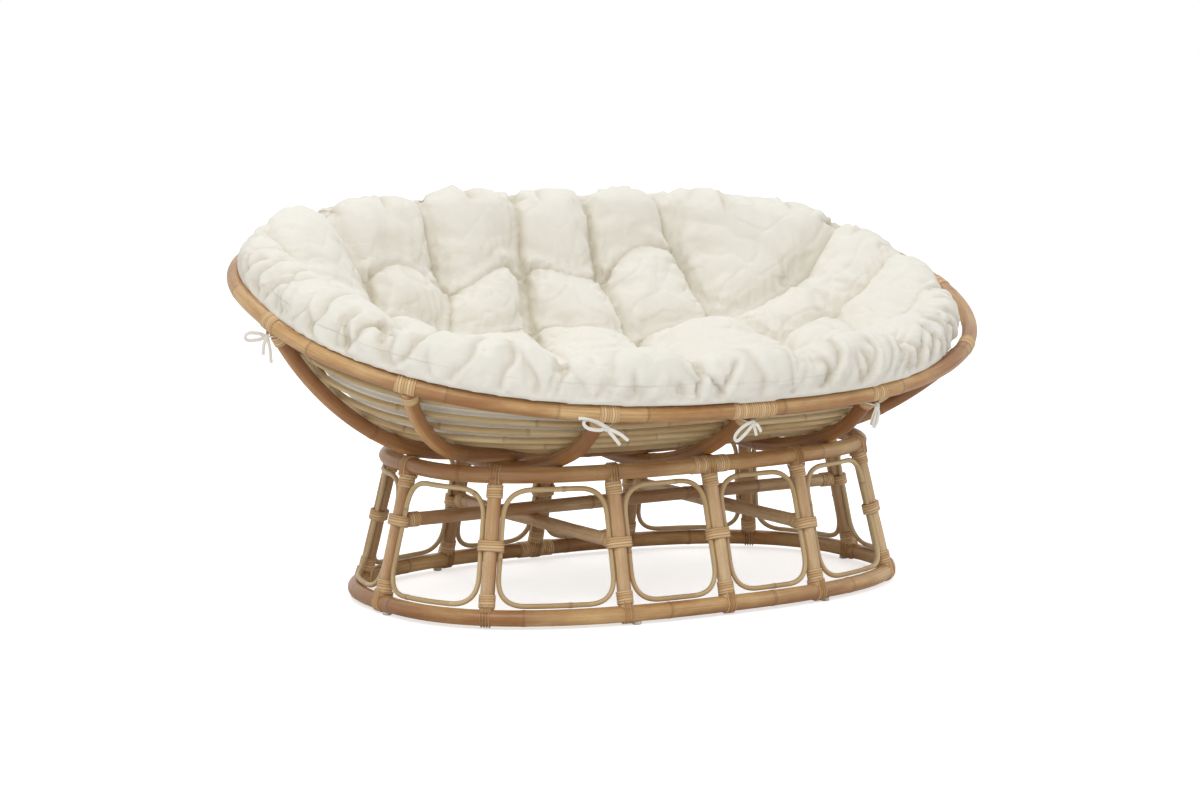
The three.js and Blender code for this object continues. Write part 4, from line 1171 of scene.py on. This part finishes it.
pad = placed("cushion_pad", new_mesh("cushion_pad", pressed, grid_faces(pad_row_count, cushion_columns)))
remesh = pad.modifiers.new("remesh", "REMESH")
remesh.mode = "VOXEL"
remesh.voxel_size = voxel
pad_mesh = applied(pad)
print("even mesh:", len(pad_mesh.vertices), "points")

# %% [markdown]
# ### Swelling the pad
# The filling pushes the cloth out between the seams. Blender's cloth does this well: the seams, tufts and
# the underside are pinned, pressure blows up the rest, and a rest length a little longer than the mesh
# gives the cloth some fullness, so that it buckles into folds beside the seams as sewn cotton does. The
# movement of each point is capped, and the result is kept as plain geometry.

# %% Which parts of the pad are free to move
seam_hold = 9
hold_levels = 10


def hold_share(points, outwards):
    """1 where the pad is sewn down or lies on the bowl, falling to 0 on the open cloth."""
    distance, _ = from_lines(wavering_plan(points))
    seams = np.exp(-distance.min(axis=1) / seam_hold)
    facing = outwards @ rim_up
    lying = np.clip((0.12 - facing) / 0.3, 0, 1) * np.clip((48 - above_rim(points)) / 20, 0, 1)
    return np.clip(np.maximum(seams * (facing > 0.1), lying), 0, 1)


start_points = mesh_points(pad_mesh)
held = hold_share(start_points, mesh_normals(pad_mesh))
sewn = pad.vertex_groups.new(name="sewn")
for level in range(1, hold_levels + 1):
    members = np.nonzero(np.round(held * hold_levels) == level)[0]
    sewn.add(members.tolist(), level / hold_levels, "REPLACE")
print("held points:", int((held > 0.5).sum()))

# %% Cloth, pressed out from inside
most_swelling = 24
cloth_steps = 20


def swell(piece):
    """Blow the cloth up for a few steps, then cap how far each point has moved."""
    cloth = piece.modifiers.new("cloth", "CLOTH")
    settings = cloth.settings
    settings.quality = 3
    settings.mass = 0.3
    settings.vertex_group_mass = "sewn"
    settings.use_pressure = True
    settings.uniform_pressure_force = 4
    settings.shrink_min = -0.05
    settings.bending_stiffness = 0.2
    settings.effector_weights.gravity = 0
    cloth.point_cache.frame_start, cloth.point_cache.frame_end = 1, cloth_steps
    scene = bpy.context.scene
    for step in range(1, cloth_steps + 1):
        scene.frame_set(step)
    made = applied(piece)
    moved = mesh_points(made) - start_points
    far = np.linalg.norm(moved, axis=1, keepdims=True)
    move_points(made, start_points + moved * np.minimum(1, most_swelling / np.maximum(far, 1e-6)))
    scene.frame_set(1)
    print("swelling: mean", round(float(far.mean()), 1), "mm, most", round(float(far.max()), 1), "mm")


swell(pad)
smooth = pad.modifiers.new("smooth", "SUBSURF")
smooth.levels = smooth.render_levels = 1
pad_mesh = applied(pad)
print("smoothed:", len(pad_mesh.vertices), "points")

# %% [markdown]
# ### Seams, puckers and gathers
# The remesh smooths away anything finer than its voxels, so the finer shapes come after it. Every one is
# a depth along the surface's own normal, worked out for all points at once: a sharp groove down each seam,
# short puckers across it, folds that fan out from each tuft, and gathers that cross the roll.

# %% Places on the roll
rim_samples = np.linspace(0, 1, 512, endpoint=False)
closed_samples = np.append(rim_samples, 1)
rim_length_at = lengths_along(rim_point(closed_samples))
rim_length = rim_length_at[-1]
roll_middle_in, roll_middle_up = 0.28, 0.55


def nearest_turn(points):
    """The rim's turn nearest each point: the closest of many samples, then three steps along the tangent."""
    samples = rim_point(rim_samples)
    chunks = [np.argmin(((chunk[:, None] - samples[None, ::4]) ** 2).sum(axis=2), axis=1) * 4
              for chunk in np.array_split(points, 16)]
    turn = rim_samples[np.concatenate(chunks)]
    for _ in range(3):
        tangent = rim_step(turn) / 0.002
        turn = turn + ((points - rim_point(turn)) * tangent).sum(axis=1) / (tangent**2).sum(axis=1)
    return turn % 1


def roll_places(points, turn):
    """Length along the rim, and the angle round the roll: 0 outside, pi / 2 on top, pi inside."""
    away = points - rim_point(turn)
    across = (away * rim_outwards(turn)).sum(axis=1) + roll_middle_in * roll_width + slip_in * end_slip(turn)
    rise = away @ rim_up - roll_middle_up * roll_height(turn)
    return np.interp(turn, closed_samples, rim_length_at), np.arctan2(rise, across)


def between(value, low, high):
    """Rises smoothly from 0 at low to 1 at high."""
    share = np.clip((value - low) / (high - low), 0, 1)
    return share**2 * (3 - 2 * share)


top_points, top_normals = mesh_points(pad_mesh), mesh_normals(pad_mesh)
facing_up = top_normals @ rim_up
open_share = np.maximum(between(facing_up, -0.35, 0.05), between(above_rim(top_points), 26, 44))
point_turns = nearest_turn(top_points)
along_rim, roll_angle = roll_places(top_points, point_turns)
from_rim = np.linalg.norm(top_points - rim_point(point_turns), axis=1)
on_roll = 1 - between(from_rim, 130, 190)
print("open cloth:", int((open_share > 0.5).sum()), "points")

# %% Gathers across the roll
gather_gaps, gather_chances = [16, 24, 34, 52, 74], [0.24, 0.26, 0.22, 0.17, 0.11]
most_gathers = 120
gather_widths, gather_depths, gather_slants = (4, 7.5), (4, 12), (-26, 26)
gather_reach, deepest_gather = 60, 16


def gathers(length, angle, seed):
    """Folds at uneven gaps along the rim: each is steep on one side, and fades at both of its ends."""
    rng = np.random.default_rng(seed)
    gaps = rng.choice(gather_gaps, most_gathers, p=gather_chances) * rng.uniform(0.8, 1.2, most_gathers)
    places = np.cumsum(gaps)
    total = np.zeros_like(length)
    for place in places[places < rim_length - 20]:
        width, depth, slant = (rng.uniform(*span) for span in (gather_widths, gather_depths, gather_slants))
        low, high = rng.uniform(-1.3, -0.5), rng.choice([0.5, 1.2, 2.1, 2.9]) + rng.uniform(-0.3, 0.3)
        beside = length - place - slant * (angle - 0.4) - 5 * np.sin(3 * angle + place)
        beside = (beside + rim_length / 2) % rim_length - rim_length / 2
        near = np.abs(beside) < gather_reach
        beside, turned_by = beside[near], angle[near]
        steep = np.exp(-np.abs(beside) / np.where(beside > 0, width, width * 2.4))
        bank = 0.42 * np.exp(-(((beside - 2.6 * width) / (1.6 * width)) ** 2))
        ends = between(turned_by, low - 0.4, low) * (1 - between(turned_by, high - 0.6, high))
        total[near] += depth * (steep - bank) * ends
    return np.minimum(total, deepest_gather)


gather_depth = np.zeros(len(top_points))
gathered = on_roll > 0
gather_depth[gathered] = gathers(along_rim[gathered], roll_angle[gathered], 5) * on_roll[gathered]
print("gathers, deepest:", round(float(gather_depth.max()), 1), "mm")

# %% Puckers beside the seams and folds from the tufts
pucker_gaps, pucker_depths, pucker_width = (20, 34), (1.2, 3.2), 30
folds_per_tuft, fold_depths, fold_lengths = 11, (1.5, 5.5), (26, 70)
groove_width, groove_share = 5.5, 19 / 62


def pucker_depth(distance, along, seed):
    """Short folds square to each seam: a wave down the seam, strongest beside it."""
    rng = np.random.default_rng(seed)
    total = np.zeros(len(distance))
    for index, seam in enumerate(np.linalg.norm(line_ends - line_starts, axis=1)):
        near = np.nonzero(distance[:, index] < 80)[0]
        down, beside = along[near, index] * seam, distance[near, index]
        gap, phase, slant = rng.uniform(*pucker_gaps), rng.uniform(0, 6.28), rng.uniform(-0.5, 0.5)
        wave = np.sin(2 * np.pi * (down + slant * beside) / gap + phase + 1.4 * np.sin(down / 37 + phase))
        patch = 0.5 + 0.5 * np.sin(down / rng.uniform(30, 60) + 3 * phase)
        total[near] += rng.uniform(*pucker_depths) * wave * patch * np.exp(-((beside / pucker_width) ** 2))
    return total


def fan_depth(plan, seed):
    """Folds that run out from each tuft: narrow at the tuft, wider and shallower further out."""
    rng = np.random.default_rng(seed)
    total = np.zeros(len(plan))
    for tuft in tufts:
        away = plan - tuft
        reach = np.linalg.norm(away, axis=1)
        near = np.nonzero(reach < 190)[0]
        reach = reach[near]
        turn = np.arctan2(away[near, 1], away[near, 0])
        for fold in angles_round(folds_per_tuft) + rng.uniform(-0.22, 0.22, folds_per_tuft):
            off = (turn - fold + np.pi) % (2 * np.pi) - np.pi
            side = reach * np.sin(np.clip(off, -1.5, 1.5))
            depth = rng.uniform(*fold_depths) * np.exp(-((side / (3.5 + 0.09 * reach)) ** 2))
            fading = np.exp(-reach / rng.uniform(*fold_lengths)) * between(reach, 2, 14)
            total[near] += depth * (np.abs(off) < 1.5) * fading
    return total


seat_open = np.nonzero(open_share * (facing_up > 0))[0]
seam_plan = wavering_plan(top_points[seat_open])
seam_distance, seam_along = from_lines(seam_plan)
groove, puckers, fans = np.zeros((3, len(top_points)))
groove[seat_open] = crease_depth(seam_distance, seam_along, groove_width) * groove_share
puckers[seat_open] = pucker_depth(seam_distance, seam_along, 11)
fans[seat_open] = fan_depth(seam_plan, 17)
for label, depth in (("grooves", groove), ("puckers", puckers), ("fans", fans)):
    print(label, "deepest:", round(float(depth.max()), 1), "mm")

# %% Uneven filling, and long soft folds in the cloth
swells = 9


def soft_waves(points, size, amount, seed):
    """Many sine waves in random directions: each makes a swell, together they never repeat."""
    rng = np.random.default_rng(seed)
    total = np.zeros(len(points))
    for _ in range(swells):
        direction = unit(rng.normal(size=3))
        total += np.sin(points @ direction * 2 * np.pi / (size * rng.uniform(0.7, 1.6)) + rng.uniform(0, 6.28))
    return total * amount / math.sqrt(swells)


filling = soft_waves(top_points, 170, 4.0, 23) + soft_waves(top_points, 60, 1.3, 29)
creased = 1 - np.abs(soft_waves(top_points + 14 * soft_waves(top_points, 150, 1, 31)[:, None], 92, 1.0, 37))
soft_folds = 3.2 * np.maximum(creased, 0) ** 6 * (0.35 + 0.65 * between(from_rim, 100, 170))
sunk = (groove + puckers + fans + gather_depth + soft_folds - filling * between(groove, 6, 0)) * open_share
move_points(pad_mesh, top_points - top_normals * sunk[:, None])
print("deepest fold:", round(float(sunk.max()), 1), "mm")

# %% [markdown]
# ### Cotton
# The cover is a plain off-white cotton: a fine even weave, matt with a faint sheen at grazing angles.
# Shade is painted into its colour, darker and yellower, where it folds in on itself and along the seam
# round the roll. The weave is fine noise, and each point of the mesh carries how far it is pressed into
# folds, which sets the painted shade, and how far it lies from the stitching round the roll.

# %% Cotton finish
stitch_angle, stitch_radius, off_roll = 0.1, 46, 50
full_shade_depth = 12

# Painted shade: how deep each point lies in a groove, gather or fan sets how far its colour darkens and yellows.
fold_shade = np.clip((groove + np.maximum(gather_depth, 0) + fans) / full_shade_depth, 0, 1) * open_share
carry(pad_mesh, "fold_shade", fold_shade)
carry(pad_mesh, "stitch_line", (roll_angle - stitch_angle) * stitch_radius + off_roll * (1 - on_roll))
cotton = Finish("cushion cotton")
where = cotton.node("ShaderNodeTexCoord", output=3)
base = cotton.mix(cotton.noise(where, 2.4, 4.0), shade(241, 238, 229), shade(234, 230, 218))
# Painted shade in the folds, darker and yellower.
fold_shaded_colour = cotton.stain(base, [(cotton.value("fold_shade"), 0, 1, 0.85, shade(200, 190, 167))])
slub = cotton.ramp(cotton.noise(where, 60, 3.0, 0.6), 0.2, 0.8)
cloth_colour = cotton.mix(0.1, fold_shaded_colour, cotton.mix(slub, shade(222, 217, 204), shade(250, 248, 242)))
# Painted shade: a darker, yellower line in patches along the seam round the roll, where the bump also sinks the
# cloth.
from_stitch = cotton.ramp(cotton.maths("ABSOLUTE", cotton.value("stitch_line")), 0.4, 2.2)
seam_groove_and_shade = cotton.maths("MULTIPLY", cotton.maths("SUBTRACT", 1.0, from_stitch),
                        cotton.ramp(cotton.noise(where, 11, 2.0), 0.4, 0.62))
cloth_colour = cotton.stain(cloth_colour, [(seam_groove_and_shade, 0, 1, 0.22, shade(196, 188, 168))])
weave = cotton.maths("MULTIPLY_ADD", cotton.noise(where, 120, 4.0), 1.6, cotton.noise(where, 900, 2.0))
cotton.bump(cotton.maths("MULTIPLY_ADD", weave, 0.4, cotton.maths("MULTIPLY", seam_groove_and_shade, -1.2)), 0.0008, 0.8)
cotton.look(Base_Color=cloth_colour, Roughness=0.92, Sheen_Weight=0.12, Sheen_Roughness=0.5)
dress(pad, "cushion_pad", cotton.material, ("cushion",))

# %% [markdown]
# ## Ties
# Four ties of white cotton tape hold the pad. Each comes from under the roll on both sides of a bent
# pole, passes below the rim, and is knotted in front with a loop and two tails. Tape is a flat slab
# carried along a path: the section is a flattened oval, and it faces a direction that turns from one end
# of the path to the other.

# %% Tape
tape_width, tape_thickness, tape_sides = 7, 1.8, 12


def tape(knots, first_facing, last_facing, width=tape_width, steps=26):
    """A flattened oval along a smooth path: width cos(t)^0.5 across, thickness sin(t) through."""
    path = down_columns(np.array(knots, float)[:, None], steps)[:, 0]
    share = np.linspace(0, 1, steps)[:, None]
    facing = np.array(first_facing, float) * (1 - share) + np.array(last_facing, float) * share
    turn = angles_round(tape_sides)
    flat = np.sign(np.cos(turn)) * np.abs(np.cos(turn)) ** 0.5 * width / 2
    return carried(path, *frames(path, facing), flat, np.sin(turn) * tape_thickness / 2)


def strips(name, grids, body, material, stands_for):
    """Several open tapes as one mesh, each with its ends closed."""
    faces, start = [], 0
    for grid in grids:
        rows, columns = grid.shape[:2]
        faces += grid_faces(rows, columns, start=start)
        start += rows * columns
    mesh = new_mesh(name, np.concatenate([grid.reshape(-1, 3) for grid in grids]), faces)
    dress(placed(name, mesh), body, material, stands_for)


# %% Tape finish
tape_cotton = Finish("tie cotton")
where = tape_cotton.node("ShaderNodeTexCoord", output=3)
tape_colour = tape_cotton.mix(tape_cotton.noise(where, 90), shade(232, 228, 216), shade(243, 241, 234))
tape_cotton.look(Base_Color=tape_colour, Roughness=0.92, Sheen_Weight=0.1)
tape_cotton.bump(tape_cotton.noise(where, 700, 2.0), 0.0006, 0.8)

# %% Tied tapes
# For each tie: its joint on the rim, where its two straps pass, and its loop and tails. These are given
# beside the knot as the photograph shows them: along the rim, up, and outwards.
tied = {
    "tie_left": ("end_left", (-20, 20), [
        [(0, 0, 0), (-20, 8, 5), (-42, 10, 8), (-50, 3, 8), (-42, -4, 6), (-18, -4, 3), (0, 0, 0)],
        [(0, 0, 1), (4, -22, 5), (6, -50, 6)],
        [(0, 0, 1), (-8, -16, 3), (-10, -34, 4)]]),
    "tie_front_left": ("front_left", (-20, 20), [
        [(0, 0, 1), (-24, 12, 5), (-43, 16, 8), (-49, 9, 8), (-43, 1, 7), (-30, -3, 5), (-14, -4, 3), (0, 0, 1)],
        [(0, 1, 3), (-22, 14, 8), (-42, 19, 11), (-61, 18, 12)],
        [(0, 0, 2), (24, -9, 5), (43, -22, 6)],
        [(0, -1, 1), (13, -15, 3), (27, -31, 4)]]),
    "tie_front_centre": ("front_centre", (-30, 20), [
        [(0, 2, 1), (-12, 1, 4), (-31, -7, 7), (-45, -18, 9), (-47, -27, 9), (-39, -30, 8), (-19, -18, 5),
         (0, -3, 1)],
        [(0, 0, 2), (9, -4, 5), (17, -17, 6)],
        [(0, -1, 1), (4, -10, 3), (7, -24, 4)]]),
    "tie_front_right": ("front_right", (-26, 20), [
        [(0, 0, 1), (-5, -10, 5), (-15, -26, 8), (-19, -36, 8), (-12, -39, 7), (-5, -26, 5), (0, -6, 1)],
        [(0, 0, 2), (-11, -14, 3), (-22, -34, 4)],
        [(0, 0, 3), (-2, -14, 8), (-9, -33, 10)]]),
}
strap_reach = pole / 2 + 3.6
strap_angles = (172, 200, 230, 252)
knot_size, knot_width = 4.6, 6


def tied_tapes(name, joint, strap_places, tapes):
    """Two straps from the knot up behind the rim, two crossed wraps for the knot, its loop and its tails."""
    turn = rim_joints[joint]
    centre = rim_point(turn)
    side, out = unit(rim_step(turn)), rim_outwards(turn)

    def spot(along, degrees, away=0.0):
        """A place round the rim: so far along it, at an angle from outwards, and so far from its skin."""
        angle = math.radians(degrees)
        direction = out * math.cos(angle) + rim_up * math.sin(angle)
        return centre + side * along + direction * (strap_reach + away)

    knot = spot(0, -70, 8)
    right, away = side, unit(out * [1, 1, 0])
    if joint == "end_left":
        right, away = np.array([1.0, 0, 0]), np.array([0, -1.0, 0])
    made = []
    for place in strap_places:
        strap = [*(spot(place, degrees) for degrees in strap_angles), spot(place * 0.5, 276, 3), knot]
        made.append(tape(strap, -out, out - rim_up))
    for path in tapes:
        beside = [knot + right * along + upward * rise + away * ahead for along, rise, ahead in path]
        made.append(tape(beside, away, away + upward * 0.3, steps=36))
    for lean in (-0.35, 0.35):
        ahead, leaning = away * (knot_size + 1), (side * lean + upward) * knot_size
        wrap = [knot + ahead * math.cos(angle) + leaning * math.sin(angle)
                for angle in np.linspace(0, 2 * np.pi, 13)]
        made.append(tape(wrap, side, side, knot_width))
    strips(f"{name}_tapes", made, "bowl", tape_cotton.material, (name,))


for name, parts in tied.items():
    tied_tapes(name, *parts)
print("ties:", len(tied))

# %% [markdown]
# ## Studio
# A plain pale floor, a white world and three soft lamps. The white behind the chair is the world's
# colour as the camera, a gloss or a clear surface sees it, so the lamps can stay at a level where
# colours look as they are written.

# %% World
white = (1, 1, 1, 1)
ambient_light, floor_glow = 0.58, 0.6

world = bpy.data.worlds.new("studio")
bpy.context.scene.world = world
world.use_nodes = True
world.node_tree.nodes.clear()
sky = Nodes(world.node_tree)
ambient, backdrop = (sky.node("ShaderNodeBackground", {"Color": white, "Strength": power}) for power in
                     (ambient_light, 1.0))
rays = sky.tree.nodes.new("ShaderNodeLightPath").outputs
seen = sky.maths("MAXIMUM", rays["Is Camera Ray"], rays["Is Glossy Ray"])
seen = sky.maths("MAXIMUM", seen, rays["Is Transmission Ray"])
chosen = sky.node("ShaderNodeMixShader", {0: seen, 1: ambient, 2: backdrop})
sky.set(sky.tree.nodes.new("ShaderNodeOutputWorld"), {"Surface": chosen})

# %% Floor
floor_half = 30

ground = Finish("floor")
ground.look(Base_Color=(0.94, 0.94, 0.94, 1), Roughness=0.9)
matt = ground.shader.outputs[0]
glow = ground.node("ShaderNodeEmission", {"Color": white, "Strength": floor_glow})
glowing = ground.node("ShaderNodeAddShader", {0: matt, 1: glow})
chosen = ground.node("ShaderNodeMixShader", {0: ground.node("ShaderNodeLightPath"), 1: matt, 2: glowing})
ground.set(ground.tree.nodes["Material Output"], {"Surface": chosen})
floor_mesh = bpy.data.meshes.new("floor")
floor_corners = [(x * floor_half, y * floor_half, 0) for x, y in ((-1, -1), (1, -1), (1, 1), (-1, 1))]
floor_mesh.from_pydata(floor_corners, [], [(0, 1, 2, 3)])
floor_mesh.materials.append(ground.material)
placed("floor", floor_mesh)

# %% Lamps


def lamp(name, place, aim, size, power):
    """A square area lamp that faces a point."""
    light = bpy.data.lights.new(name, "AREA")
    light.size, light.energy = size, power
    back = unit(np.array(place, float) - np.array(aim, float))
    right = unit(np.cross(upward, back))
    turn = np.stack([right, np.cross(back, right), back], axis=1)
    placed(name, light).matrix_world = Matrix.Translation(place) @ Matrix(turn.tolist()).to_4x4()


lamp("key", (-2.6, -2.6, 3.4), (0, 0, 0.45), 2.0, 60)
lamp("fill", (3.4, -2.4, 2.2), (0, 0, 0.4), 2.6, 15)
lamp("top", (0.2, 1.2, 3.6), (0, 0, 0.5), 2.4, 34)

# %% The view transform
bpy.context.scene.view_settings.view_transform = "Standard"
